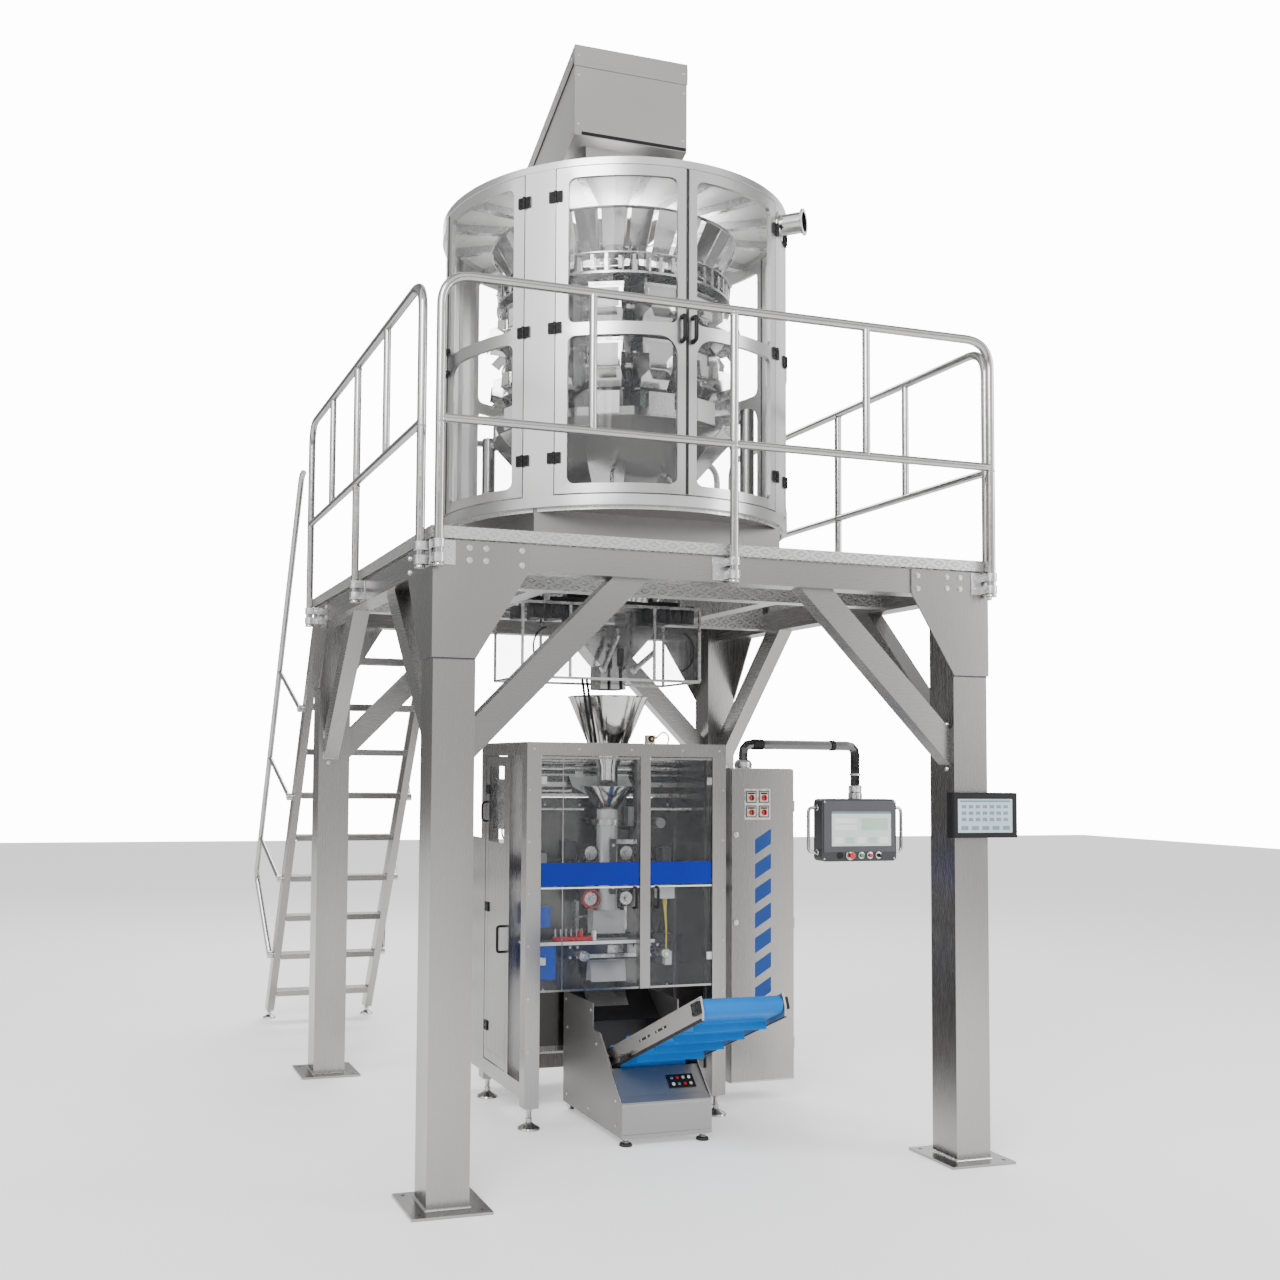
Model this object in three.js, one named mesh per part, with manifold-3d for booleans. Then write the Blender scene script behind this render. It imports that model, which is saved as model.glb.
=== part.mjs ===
// A vertical form fill sealer with its multihead weigher, walk-round platform and take-away conveyor.
// Millimetres, +Z up. Every sub-assembly is drawn about the platform's centre line, X to the right,
// Y away from the operator, and the finished group is moved so its footprint centre is the origin.
import * as THREE from 'three';
import { mergeVertices } from 'three/addons/utils/BufferGeometryUtils.js';
import Module from 'manifold-3d';

const wasm = await Module();
wasm.setup();

// ---------------------------------------------------------------- driving dimensions
const GAP = 0.3;
const QUARTER = Math.PI / 2;
const BEND_STEPS = 3;

// platform
const DECK_TOP = 2900;
const DECK_LIP = 52;
const DECK_HALF = 1425;
const FRAME_HALF = 1405;
const LEG = 190;
const LEG_WALL = 6;
const LEG_TOP = 2845;
const BEAM_BOTTOM = 2725;
const BEAM_DEPTH = 120;
const BEAM_WALL = 6;
const BASE_PLATE = 354;
const BASE_THICK = 12;
const BASE_HOLE_R = 11;
const BASE_HOLE_AT = 137;
const GUSSET_THICK = 8;
const GUSSET_BOTTOM = 2335;
const GUSSET_REACH = 240;
const BRACE_LOW = 1900;
const BRACE_HIGH = 2075;
const BRACE_WIDE = 90;
const DECK_OPENING = 600;
const INNER_BEAM = 100;
const DECK_RIM = 100;
const DECK_SKIN = 6;

// guard rails
const RAIL_LINE = FRAME_HALF + 50;
const RAIL_R = 21;
const RAIL_TOP = 3985;
const RAIL_MID = 3360;
const RAIL_FOOT = 2722;
const RAIL_BEND = 140;
const RAIL_LONG = 2300;
const RAIL_SHOE_HALF = 32;
const RAIL_SHOE_Z = [2742, 2832];
const FRONT_RAIL = [-1400, 1400];
const SIDE_RAIL = [-1350, 1350];
const BACK_RAIL = [-1400, 480];

// ladder
const LADDER_X0 = -1405;
const LADDER_X1 = -625;
const STRINGER = 50;
const STRINGER_TOP_Y = 1430;
const STRINGER_TOP_Z = 2790;
const STRINGER_FOOT_Y = 3200;
const STRINGER_SLOPE = STRINGER_TOP_Z / (STRINGER_FOOT_Y - STRINGER_TOP_Y);
const STRINGER_HALF_V = 93;
const STRINGER_CUT = 60;
const TREADS = 9;
const TREAD_FIRST = 200;
const TREAD_RISE = 292;
const TREAD_HALF_DEEP = 60;
const TREAD_HALF_TALL = 15;
const HANDRAIL_R = 19;
const HANDRAIL_OUT = 95;
const HANDRAIL_ABOVE = 930;
const HANDRAIL_START = 1392;
const HANDRAIL_TURN = 1450;
const HANDRAIL_END = 3120;
const HANDRAIL_BEND = 45;
const HANDRAIL_FOOT_Z = 500;
const BRACKET_HEIGHTS = [2230, 1650, 1070, HANDRAIL_FOOT_Z];
const STRUT_OUT = 420;
const STRUT_RISE = 267;
const BRACKET_HALF = 26;
const BRACKET_REACH = 42;

// weigher cabinet
const DRUM_R = 964;
const RING_LOW = 3155;
const RING_HIGH = 3214;
const CURB_IN = DRUM_R - 30;
const FLOOR_IN = 600;
const FLOOR_THICK = 8;
const DOOR_LOW = RING_HIGH + 3;
const DOOR_HIGH = 4860;
const ROOF_LOW = 4863;
const ROOF_HIGH = 4903;
const PLINTH_X = 690;
const PLINTH_Y = 655;
const PLINTH_WALL = 40;
const PILLAR_HALF_DEG = 5;
const DOOR_THICK = 25;
const HINGE_R = DRUM_R + 10;
const HINGE_DEG = 39.85;
const HINGE_HEIGHTS = [3398, 4052, 4718];
const LUG_WIDE = 28;
const LUG_TALL = 30;
const DOOR_HANDLE_Z = 4045;
const WINDOW_LOW = 3265;
const WINDOW_MID_LOW = 4005;
const WINDOW_MID_HIGH = 4070;
const WINDOW_HIGH = 4806;
const VENT_R = 55;
const VENT_FLANGE_R = 70;
const VENT_BORE_R = 51;
const ROOF_HOLE_R = 300;
const VENT_Z = 4768;
const DRUM_SIDES = 24;
const DOOR_STEPS = 3;
const PANE_THICK = 5;
const HEADS = 14;
const CONE_FOOT = 4500;
const PAN_TALL = 86;

// product infeed hood
const HOOD_X = -20;
const HOOD_WIDE = 666;
const HOOD_FRONT = -300;
const HOOD_BACK = 600;
const HOOD_TOP = 5780;
const HOOD_UNDER = 5280;
const HOOD_FALL = 0.455;

// bagging machine
const BAG_X = -15;
const MACHINE_X0 = -590;
const MACHINE_X1 = 560;
const MACHINE_Y0 = -300;
const MACHINE_Y1 = 490;
const REAR_Y1 = 780;
const ROLL_Y = 645;
const ROLL_Z = 1080;
const ROLL_R = 135;
const MACHINE_TOP = 2000;
const POST = 80;
const BACKPLATE_Y = 150;
const DOOR_BOTTOM = 700;
const DOOR_PULL_Z = 1120;
const FLOOR_RAIL_Z = [150, 230];
const TOP_RAIL_DEEP = 70;
const SIDE_SHEET_Z = [229, 1931];
const POST_FOOT_Z = 110;
const FOOT_IN = 40;
const MULLION_X = [54, 112];
const GUIDE_X = [-250, 220];
const GUIDE_Z = 875;
const GUIDE_R = 15;
const TUBE_R = 57;
const PULLEY_R = 44;
const PULLEY_HIGH = 1400;
const PULLEY_LOW = 1150;
const JAW_HALF = 43;
const FUNNEL_R = 220;
const FUNNEL_TOP = 2260;

// electrical cabinet and operator panels
const CAB_X0 = 690;
const CAB_X1 = 1085;
const CAB_Y0 = -100;
const CAB_Y1 = 280;
const CAB_Z0 = 120;
const CAB_Z1 = 1873;
const CAB_WALL = 12;
const HANGER_HEIGHTS = [420, 1640];
const ARM_X = 815;
const ARM_Y = -20;
const ARM_Z = 2010;
const PANEL_X = 1550;
const PANEL_WIDE = 500;
const PANEL_LOW = 1338;
const PANEL_HIGH = 1700;

// take-away conveyor
const CONV_X0 = -225;
const CONV_X1 = 265;
const BED_X0 = -190;
const BED_X1 = 230;
const HEAD_Y = -1478;
const HEAD_Z = 808;
const TAIL_Y = -330;
const TAIL_Z = 330;
const ROLLER_R = 36;
const BELT_THICK = 4;

// ---------------------------------------------------------------- materials
function metal(color, roughness) {
  return new THREE.MeshStandardMaterial({ color, roughness, metalness: 0.9 });
}

function plain(color, roughness) {
  return new THREE.MeshStandardMaterial({ color, roughness, metalness: 0 });
}

const brushed = metal(0xb9b9bb, 0.38);
const polished = metal(0xd4d5d7, 0.22);
const sheet = metal(0xc6c4c3, 0.42);
const chequer = metal(0xa9aaac, 0.45);
const darkMetal = metal(0x55585c, 0.45);
const black = plain(0x1b1c1e, 0.55);
const bezel = plain(0x3a3d41, 0.5);
const beltBlue = plain(0x1688e0, 0.45);
const jawBlue = plain(0x1b2f66, 0.5);
const film = plain(0xe6ebee, 0.3);
const red = plain(0xc4161c, 0.4);
const green = plain(0x2c9a4b, 0.4);
const clear = new THREE.MeshStandardMaterial({
  color: 0xdfe7ea, roughness: 0.1, metalness: 0, transparent: true, opacity: 0.45,
});

// ---------------------------------------------------------------- solids
function toSolid(geometry) {
  const bare = new THREE.BufferGeometry();
  bare.setAttribute('position', geometry.getAttribute('position'));
  bare.setIndex(geometry.getIndex());
  const merged = mergeVertices(bare, 1e-3);
  const position = merged.getAttribute('position');
  const index = merged.getIndex().array;
  const triangles = [];
  let volume = 0;
  const [a, b, c] = [new THREE.Vector3(), new THREE.Vector3(), new THREE.Vector3()];
  for (let i = 0; i < index.length; i += 3) {
    const [p, q, r] = [index[i], index[i + 1], index[i + 2]];
    if (p !== q && q !== r && r !== p) {
      triangles.push(p, q, r);
      a.fromBufferAttribute(position, p);
      b.fromBufferAttribute(position, q);
      c.fromBufferAttribute(position, r);
      volume += a.dot(b.cross(c));
    }
  }
  if (volume < 0) {
    triangles.reverse();
  }
  return new wasm.Manifold(new wasm.Mesh({
    numProp: 3,
    vertProperties: new Float32Array(position.array),
    triVerts: new Uint32Array(triangles),
  }));
}

function toGeometry(solid) {
  const mesh = solid.getMesh();
  const geometry = new THREE.BufferGeometry();
  geometry.setAttribute('position', new THREE.BufferAttribute(mesh.vertProperties, 3));
  geometry.setIndex(new THREE.BufferAttribute(mesh.triVerts, 1));
  const flat = geometry.toNonIndexed();
  flat.computeVertexNormals();
  return flat;
}

function join(...solids) {
  return solids.flat().reduce((whole, solid) => whole.add(solid));
}

function cut(solid, ...tools) {
  return tools.flat().reduce((rest, tool) => rest.subtract(tool), solid);
}

// a box between two opposite corners, given as [low, high] along each axis
function box([x0, x1], [y0, y1], [z0, z1]) {
  const geometry = new THREE.BoxGeometry(x1 - x0, y1 - y0, z1 - z0);
  geometry.translate((x0 + x1) / 2, (y0 + y1) / 2, (z0 + z1) / 2);
  return toSolid(geometry);
}

// an outline pushed along one axis. The outline's points are (x, y) for z, (x, z) for y and (y, z) for x
function prism(axis, outline, [from, to]) {
  const shape = new THREE.Shape(outline.map(([u, v]) => new THREE.Vector2(u, v)));
  const geometry = new THREE.ExtrudeGeometry(shape, { depth: to - from, bevelEnabled: false });
  const alongX = new THREE.Vector3(1, 0, 0);
  const alongY = new THREE.Vector3(0, 1, 0);
  const alongZ = new THREE.Vector3(0, 0, 1);
  const basis = new THREE.Matrix4();
  if (axis === 'z') {
    basis.makeBasis(alongX, alongY, alongZ).setPosition(0, 0, from);
  } else if (axis === 'y') {
    basis.makeBasis(alongX, alongZ, alongY.clone().negate()).setPosition(0, to, 0);
  } else {
    basis.makeBasis(alongY, alongZ, alongX).setPosition(from, 0, 0);
  }
  geometry.applyMatrix4(basis);
  return toSolid(geometry);
}

// a round bar between two points
function rod(from, to, radius, sides = 6) {
  const start = new THREE.Vector3(...from);
  const end = new THREE.Vector3(...to);
  const along = end.clone().sub(start);
  const geometry = new THREE.CylinderGeometry(radius, radius, along.length(), sides);
  geometry.rotateY(Math.PI / sides);
  const upright = new THREE.Vector3(0, 1, 0);
  const turn = new THREE.Quaternion().setFromUnitVectors(upright, along.clone().normalize());
  geometry.applyQuaternion(turn);
  geometry.translate(...start.add(end).multiplyScalar(0.5).toArray());
  return toSolid(geometry);
}

// a path that an extrusion steps through centre by centre, mitred at every one
class StepPath extends THREE.Curve {
  constructor(centres) {
    super();
    this.centres = centres;
  }

  indexAt(u) {
    return Math.round(u * (this.centres.length - 1));
  }

  getPointAt(u, target = new THREE.Vector3()) {
    return target.copy(this.centres[this.indexAt(u)]);
  }

  getTangentAt(u, target = new THREE.Vector3()) {
    const i = this.indexAt(u);
    const before = this.centres[Math.max(i - 1, 0)];
    const after = this.centres[Math.min(i + 1, this.centres.length - 1)];
    return target.subVectors(after, before).normalize();
  }
}

// a bent tube: straight runs through the corner points with round bends
function bentRod(corners, radius, bend, sides = 6) {
  const points = corners.map((corner) => new THREE.Vector3(...corner));
  const centres = [points[0]];
  for (let i = 1; i < points.length - 1; i += 1) {
    const corner = points[i];
    const toward = (other) => other.clone().sub(corner).normalize().multiplyScalar(bend).add(corner);
    const curve = new THREE.QuadraticBezierCurve3(toward(points[i - 1]), corner, toward(points[i + 1]));
    centres.push(...curve.getPoints(BEND_STEPS));
  }
  centres.push(points[points.length - 1]);
  const outline = [];
  for (let i = 0; i < sides; i += 1) {
    const angle = (2 * Math.PI * i) / sides;
    outline.push(new THREE.Vector2(radius * Math.cos(angle), radius * Math.sin(angle)));
  }
  return toSolid(new THREE.ExtrudeGeometry(new THREE.Shape(outline), {
    steps: centres.length - 1,
    extrudePath: new StepPath(centres),
    bevelEnabled: false,
  }));
}

// a turned piece about a vertical axis at (x, y); the profile's points are (radius, z)
function turned(profile, sides, x = 0, y = 0) {
  const onAxis = profile[0][0] === 0;
  const points = (onAxis ? profile : [...profile, profile[0]]).map(([r, z]) => new THREE.Vector2(r, z));
  const geometry = new THREE.LatheGeometry(points, sides);
  geometry.rotateX(QUARTER);
  geometry.translate(x, y, 0);
  return toSolid(geometry);
}

// a levelling foot standing at (x, y), up to the height top
function levelFoot(x, y, padR, stemR, top) {
  return turned([[0, 0], [padR, 0], [padR - 3, 9], [stemR, 30], [stemR, top], [0, top]], 8, x, y);
}

// a C-shaped pull handle on a flat face; reach is the way out of the face, tall the way along it
function pullHandle(at, [ox, oy], length) {
  const out = 40;
  const bar = 12;
  const half = bar / 2;
  const span = (a, b) => [Math.min(a, b), Math.max(a, b)];
  const far = [at[0] + ox * out, at[1] + oy * out];
  const arm = (z) => box(
    ox ? span(at[0] - ox * 4, far[0]) : [at[0] - half, at[0] + half],
    oy ? span(at[1] - oy * 4, far[1]) : [at[1] - half, at[1] + half],
    [z, z + bar],
  );
  const grip = box(
    ox ? span(far[0] - ox * bar, far[0]) : [at[0] - half, at[0] + half],
    oy ? span(far[1] - oy * bar, far[1]) : [at[1] - half, at[1] + half],
    [at[2], at[2] + length],
  );
  return join(arm(at[2]), grip, arm(at[2] + length - bar));
}

function degrees(angle) {
  return (angle * Math.PI) / 180;
}

function polar(radius, angleDeg) {
  return [radius * Math.cos(degrees(angleDeg)), radius * Math.sin(degrees(angleDeg))];
}

// an upright piece of a drum wall between two radii and two angles in degrees
function wallPiece([r0, r1], [a0, a1], [z0, z1], steps) {
  const outline = [];
  for (let i = 0; i <= steps; i += 1) {
    outline.push(polar(r1, a0 + ((a1 - a0) * i) / steps));
  }
  for (let i = steps; i >= 0; i -= 1) {
    outline.push(polar(r0, a0 + ((a1 - a0) * i) / steps));
  }
  return prism('z', outline, [z0, z1]);
}

// ---------------------------------------------------------------- assembly
const group = new THREE.Group();

function part(name, solid, material, parent = group) {
  const mesh = new THREE.Mesh(toGeometry(solid), material);
  mesh.name = name;
  parent.add(mesh);
  return mesh;
}

// ---------------------------------------------------------------- platform legs
// drawn at the front left corner and turned about the centre line for the other three
function leg() {
  const low = -FRAME_HALF;
  const high = -FRAME_HALF + LEG;
  const centre = (low + high) / 2;
  const inner = [low + LEG_WALL, high - LEG_WALL];
  const column = cut(
    box([low, high], [low, high], [BASE_THICK - 1, LEG_TOP]),
    box(inner, inner, [BASE_THICK, LEG_TOP + 1]),
  );
  const half = BASE_PLATE / 2;
  const holes = [];
  for (const sx of [-1, 1]) {
    for (const sy of [-1, 1]) {
      const at = [centre + sx * BASE_HOLE_AT, centre + sy * BASE_HOLE_AT];
      holes.push(rod([...at, -1], [...at, BASE_THICK + 1], BASE_HOLE_R));
    }
  }
  const square = [centre - half, centre + half];
  const plate = cut(box(square, square, [0, BASE_THICK]), holes);
  const top = LEG_TOP - 3;
  const outline = [
    [low - GUSSET_THICK, GUSSET_BOTTOM], [high, GUSSET_BOTTOM], [high + GUSSET_REACH, BEAM_BOTTOM],
    [high + GUSSET_REACH, top], [low - GUSSET_THICK, top],
  ];
  const outside = [low - GUSSET_THICK, low - GAP];
  const weld = [low - 1, low + 1];
  return join(
    column,
    plate,
    prism('y', outline, outside),
    prism('x', outline, outside),
    box([low, high], weld, [GUSSET_BOTTOM, top]),
    box(weld, [low, high], [GUSSET_BOTTOM, top]),
  );
}

const legSolid = leg();
['leg_front_left', 'leg_front_right', 'leg_back_right', 'leg_back_left'].forEach((name, i) => {
  part(name, legSolid, brushed).rotation.z = i * QUARTER;
});

// ---------------------------------------------------------------- edge beams with their corner braces
function portal() {
  const end = FRAME_HALF - LEG - GAP;
  const y0 = -FRAME_HALF;
  const y1 = y0 + BEAM_DEPTH;
  const braceY = [y1 - BRACE_WIDE, y1];
  const slantLow = BEAM_BOTTOM - BRACE_LOW;
  const slantHigh = BEAM_BOTTOM - BRACE_HIGH;
  const wallV = BEAM_WALL * Math.SQRT2;
  const boreY = [y0 + BEAM_WALL, y1 - BEAM_WALL];
  const outer = [box([-end, end], [y0, y1], [BEAM_BOTTOM, LEG_TOP])];
  const hollow = [box([-end - 1, end + 1], boreY, [BEAM_BOTTOM + BEAM_WALL, LEG_TOP - BEAM_WALL])];
  for (const side of [-1, 1]) {
    const brace = [
      [side * end, BRACE_LOW], [side * end, BRACE_HIGH],
      [side * (end - slantHigh), BEAM_BOTTOM], [side * (end - slantHigh), BEAM_BOTTOM + 2],
      [side * (end - slantLow), BEAM_BOTTOM + 2], [side * (end - slantLow), BEAM_BOTTOM],
    ];
    const bore = [
      [side * (end + 1), BRACE_LOW + wallV], [side * (end + 1), BRACE_HIGH - wallV],
      [side * (end - slantHigh - wallV), BEAM_BOTTOM + BEAM_WALL + 1],
      [side * (end - slantLow + wallV), BEAM_BOTTOM + BEAM_WALL + 1],
    ];
    outer.push(prism('y', side < 0 ? brace : brace.reverse(), braceY));
    hollow.push(prism('y', bore, [braceY[0] + BEAM_WALL, braceY[1] - BEAM_WALL]));
  }
  return cut(join(outer), join(hollow));
}

const portalSolid = portal();
['portal_front', 'portal_right', 'portal_back', 'portal_left'].forEach((name, i) => {
  part(name, portalSolid, brushed).rotation.z = i * QUARTER;
});

// ---------------------------------------------------------------- deck
function deck() {
  const under = LEG_TOP + GAP;
  const skin = DECK_TOP - DECK_SKIN;
  const ribs = [-FRAME_HALF, FRAME_HALF];
  const inside = [-FRAME_HALF + DECK_RIM, FRAME_HALF - DECK_RIM];
  const rim = [-DECK_HALF, DECK_HALF];
  const rimInside = [-DECK_HALF + DECK_SKIN, DECK_HALF - DECK_SKIN];
  const span = FRAME_HALF - BEAM_DEPTH - GAP;
  const o = DECK_OPENING;
  const beam = [LEG_TOP - INNER_BEAM, skin + 1];
  return cut(
    join(
      box(rim, rim, [skin, DECK_TOP]),
      cut(
        box(rim, rim, [DECK_TOP - DECK_LIP, skin + 1]),
        box(rimInside, rimInside, [DECK_TOP - DECK_LIP - 1, skin + 2]),
      ),
      cut(box(ribs, ribs, [under, skin + 1]), box(inside, inside, [under - 1, skin + 2])),
      box([-span, span], [-o - INNER_BEAM, -o], beam),
      box([-span, span], [o, o + INNER_BEAM], beam),
      box([-o - INNER_BEAM, -o], [-o - 1, o + 1], beam),
      box([o, o + INNER_BEAM], [-o - 1, o + 1], beam),
    ),
    box([-o, o], [-o, o], [LEG_TOP - INNER_BEAM - 1, DECK_TOP + 1]),
  );
}

part('deck_plate', deck(), chequer);

// ---------------------------------------------------------------- guard rails, drawn along the front edge
function railing([x0, x1]) {
  const y = -RAIL_LINE;
  const mid = (x0 + x1) / 2;
  const loop = bentRod(
    [[x0, y, RAIL_FOOT], [x0, y, RAIL_TOP], [x1, y, RAIL_TOP], [x1, y, RAIL_FOOT]],
    RAIL_R,
    RAIL_BEND,
  );
  const pieces = [loop, rod([x0, y, RAIL_MID], [x1, y, RAIL_MID], RAIL_R - 1)];
  const full = x1 - x0 > RAIL_LONG ? [mid] : [];
  full.forEach((x) => pieces.push(rod([x, y, RAIL_FOOT], [x, y, RAIL_TOP], RAIL_R - 1)));
  const shorts = full.length ? [(x0 + mid) / 2, (mid + x1) / 2] : [mid];
  shorts.forEach((x) => pieces.push(rod([x, y, RAIL_MID], [x, y, RAIL_TOP], RAIL_R - 2)));
  [x0, ...full, x1].forEach((x) => {
    const onGusset = Math.abs(x) > FRAME_HALF - LEG - GUSSET_REACH;
    const face = -FRAME_HALF - GAP - (onGusset ? GUSSET_THICK : 0);
    pieces.push(box([x - RAIL_SHOE_HALF, x + RAIL_SHOE_HALF], [y - 6, face], RAIL_SHOE_Z));
  });
  return join(pieces);
}

const frontRail = railing(FRONT_RAIL);
const sideRail = railing(SIDE_RAIL);
const backRail = railing(BACK_RAIL);
part('railing_front', frontRail, polished);
part('railing_right', sideRail, polished).rotation.z = QUARTER;
part('railing_back', backRail, polished).rotation.z = 2 * QUARTER;
part('railing_left', sideRail, polished).rotation.z = 3 * QUARTER;

// ---------------------------------------------------------------- ladder
function stringerZ(y) {
  return STRINGER_TOP_Z - (y - STRINGER_TOP_Y) * STRINGER_SLOPE;
}

function stringerY(z) {
  return STRINGER_TOP_Y + (STRINGER_TOP_Z - z) / STRINGER_SLOPE;
}

function ladder() {
  const faceY = FRAME_HALF + GUSSET_THICK + GAP;
  const clip = LEG_TOP - 5;
  const side = [
    [faceY, stringerZ(faceY) - STRINGER_HALF_V],
    [stringerY(STRINGER_CUT + STRINGER_HALF_V), STRINGER_CUT],
    [stringerY(STRINGER_CUT - STRINGER_HALF_V), STRINGER_CUT],
    [stringerY(clip - STRINGER_HALF_V), clip],
    [faceY, clip],
  ];
  const pieces = [
    prism('x', side, [LADDER_X0, LADDER_X0 + STRINGER]),
    prism('x', side, [LADDER_X1 - STRINGER, LADDER_X1]),
  ];
  for (let i = 0; i < TREADS; i += 1) {
    const z = TREAD_FIRST + i * TREAD_RISE;
    const y = stringerY(z);
    pieces.push(box(
      [LADDER_X0 + STRINGER - 1, LADDER_X1 - STRINGER + 1],
      [y - TREAD_HALF_DEEP, y + TREAD_HALF_DEEP],
      [z - TREAD_HALF_TALL, z + TREAD_HALF_TALL],
    ));
  }
  const footY = stringerY(STRINGER_CUT);
  for (const x of [LADDER_X0 + STRINGER / 2, LADDER_X1 - STRINGER / 2]) {
    pieces.push(levelFoot(x, footY, 45, 10, STRINGER_CUT + 4));
  }
  return join(pieces);
}

function handrail(side) {
  const face = side < 0 ? LADDER_X0 : LADDER_X1;
  const x = face + side * HANDRAIL_OUT;
  const railZ = (y) => stringerZ(y) + HANDRAIL_ABOVE;
  const pieces = [bentRod([
    [x, HANDRAIL_START, railZ(HANDRAIL_TURN)], [x, HANDRAIL_TURN, railZ(HANDRAIL_TURN)],
    [x, HANDRAIL_END, railZ(HANDRAIL_END)],
    [face + side * 24, stringerY(HANDRAIL_FOOT_Z) + 8, HANDRAIL_FOOT_Z],
  ], HANDRAIL_R, HANDRAIL_BEND)];
  BRACKET_HEIGHTS.forEach((z) => {
    const y = stringerY(z);
    const acrossX = side < 0 ? [face - BRACKET_REACH, face - GAP] : [face + GAP, face + BRACKET_REACH];
    pieces.push(box(acrossX, [y - BRACKET_HALF, y + BRACKET_HALF], [z - BRACKET_HALF, z + BRACKET_HALF]));
    if (z !== HANDRAIL_FOOT_Z) {
      const onRail = [x, y + STRUT_OUT, z + STRUT_RISE];
      pieces.push(rod([face + side * BRACKET_HALF, y, z], onRail, HANDRAIL_R - 4));
    }
  });
  return join(pieces);
}

part('ladder', ladder(), brushed);
part('ladder_handrail_left', handrail(-1), polished);
part('ladder_handrail_right', handrail(1), polished);

// ---------------------------------------------------------------- weigher cabinet
// a hollow plinth, with the flat ring plate on it that the round cabinet's curb stands round
function plinth() {
  const z = [DECK_TOP + GAP, RING_LOW - GAP];
  const walls = cut(
    box([-PLINTH_X, PLINTH_X], [-PLINTH_Y, PLINTH_Y], z),
    box(
      [-PLINTH_X + PLINTH_WALL, PLINTH_X - PLINTH_WALL],
      [-PLINTH_Y + PLINTH_WALL, PLINTH_Y - PLINTH_WALL],
      [z[0] - 1, z[1] + 1],
    ),
  );
  const [low, high] = [z[1] - 2 * GAP, RING_LOW + FLOOR_THICK];
  const plate = turned([
    [FLOOR_IN, low], [CURB_IN - GAP, low], [CURB_IN - GAP, high], [FLOOR_IN, high],
  ], DRUM_SIDES);
  return join(walls, plate);
}

// the lug of a lift-off hinge on the drum's outside, at a hinge line in degrees; toward is +1 or -1
// along the wall
function hingeLug(lineDeg, toward, [z0, z1]) {
  const [rIn, rOut] = [DRUM_R - 9, HINGE_R + 8];
  const outline = [[rIn, GAP], [rOut, GAP], [rOut, LUG_WIDE], [rIn, LUG_WIDE]].map(([r, s]) => {
    const radial = polar(r, lineDeg);
    const along = polar(toward * s, lineDeg + 90);
    return [radial[0] + along[0], radial[1] + along[1]];
  });
  return prism('z', outline, [z0, z1]);
}

function cabinetFrame() {
  const curb = turned([
    [CURB_IN, RING_LOW], [DRUM_R, RING_LOW], [DRUM_R, RING_HIGH], [CURB_IN, RING_HIGH],
  ], DRUM_SIDES);
  const pieces = [curb];
  for (let i = 0; i < 4; i += 1) {
    const centre = 45 + 90 * i;
    const [a0, a1] = [centre - PILLAR_HALF_DEG, centre + PILLAR_HALF_DEG];
    const [face, back, flange] = [DRUM_R - 1, DRUM_R - 7, DRUM_R - 40];
    const lipDeg = 0.4;
    const channel = [
      polar(face, a0), polar(face, centre), polar(face, a1),
      polar(flange, a1), polar(flange, a1 - lipDeg), polar(back, a1 - lipDeg),
      polar(back, a0 + lipDeg), polar(flange, a0 + lipDeg), polar(flange, a0),
    ];
    pieces.push(prism('z', channel, [RING_LOW + FLOOR_THICK + GAP, ROOF_LOW - GAP]));
    HINGE_HEIGHTS.forEach((height) => {
      pieces.push(hingeLug(centre - 45 + HINGE_DEG, 1, [height - LUG_TALL, height - GAP]));
      pieces.push(hingeLug(centre + 45 - HINGE_DEG, -1, [height - LUG_TALL, height - GAP]));
    });
  }
  const vent = (radius) => [...polar(radius, -45), VENT_Z];
  const spigot = [
    rod(vent(DRUM_R - 6), vent(DRUM_R + 128), VENT_R, 12),
    rod(vent(DRUM_R + 118), vent(DRUM_R + 128), VENT_FLANGE_R, 12),
  ];
  return cut(join(pieces, spigot), rod(vent(DRUM_R - 20), vent(DRUM_R + 140), VENT_BORE_R, 12));
}

function cabinetDoor(side) {
  // drawn about +X: the free edge is near 0 degrees, the hinge line at side * HINGE_DEG
  const span = [side * 0.1, side * (HINGE_DEG - 0.15)].sort((a, b) => a - b);
  const window = [side * 3.1, side * (HINGE_DEG - 3.9)].sort((a, b) => a - b);
  const wall = [DRUM_R - DOOR_THICK, DRUM_R];
  const lights = [[WINDOW_LOW, WINDOW_MID_LOW], [WINDOW_MID_HIGH, WINDOW_HIGH]].map(
    (z) => wallPiece([wall[0] - 9, wall[1] - PANE_THICK], window, z, DOOR_STEPS),
  );
  const door = cut(wallPiece(wall, span, [DOOR_LOW, DOOR_HIGH], DOOR_STEPS), lights);
  const lugs = HINGE_HEIGHTS.map(
    (height) => hingeLug(side * HINGE_DEG, -side, [height, height + LUG_TALL]),
  );
  const handle = pullHandle([DRUM_R - 2, side * 32, DOOR_HANDLE_Z - 60], [1, 0], 120);
  return join(door, lugs, handle);
}

const weigher = new THREE.Group();
group.add(weigher);
part('weigher_plinth', plinth(), sheet, weigher);
part('cabinet_frame', cabinetFrame(), brushed, weigher);

const doorSolids = { left: cabinetDoor(-1), right: cabinetDoor(1) };
['front', 'right', 'back', 'left'].forEach((face, i) => {
  const turn = (i - 1) * QUARTER;
  part(`cabinet_door_${face}_a`, doorSolids.left, clear, weigher).rotation.z = turn;
  part(`cabinet_door_${face}_b`, doorSolids.right, clear, weigher).rotation.z = turn;
});

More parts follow.
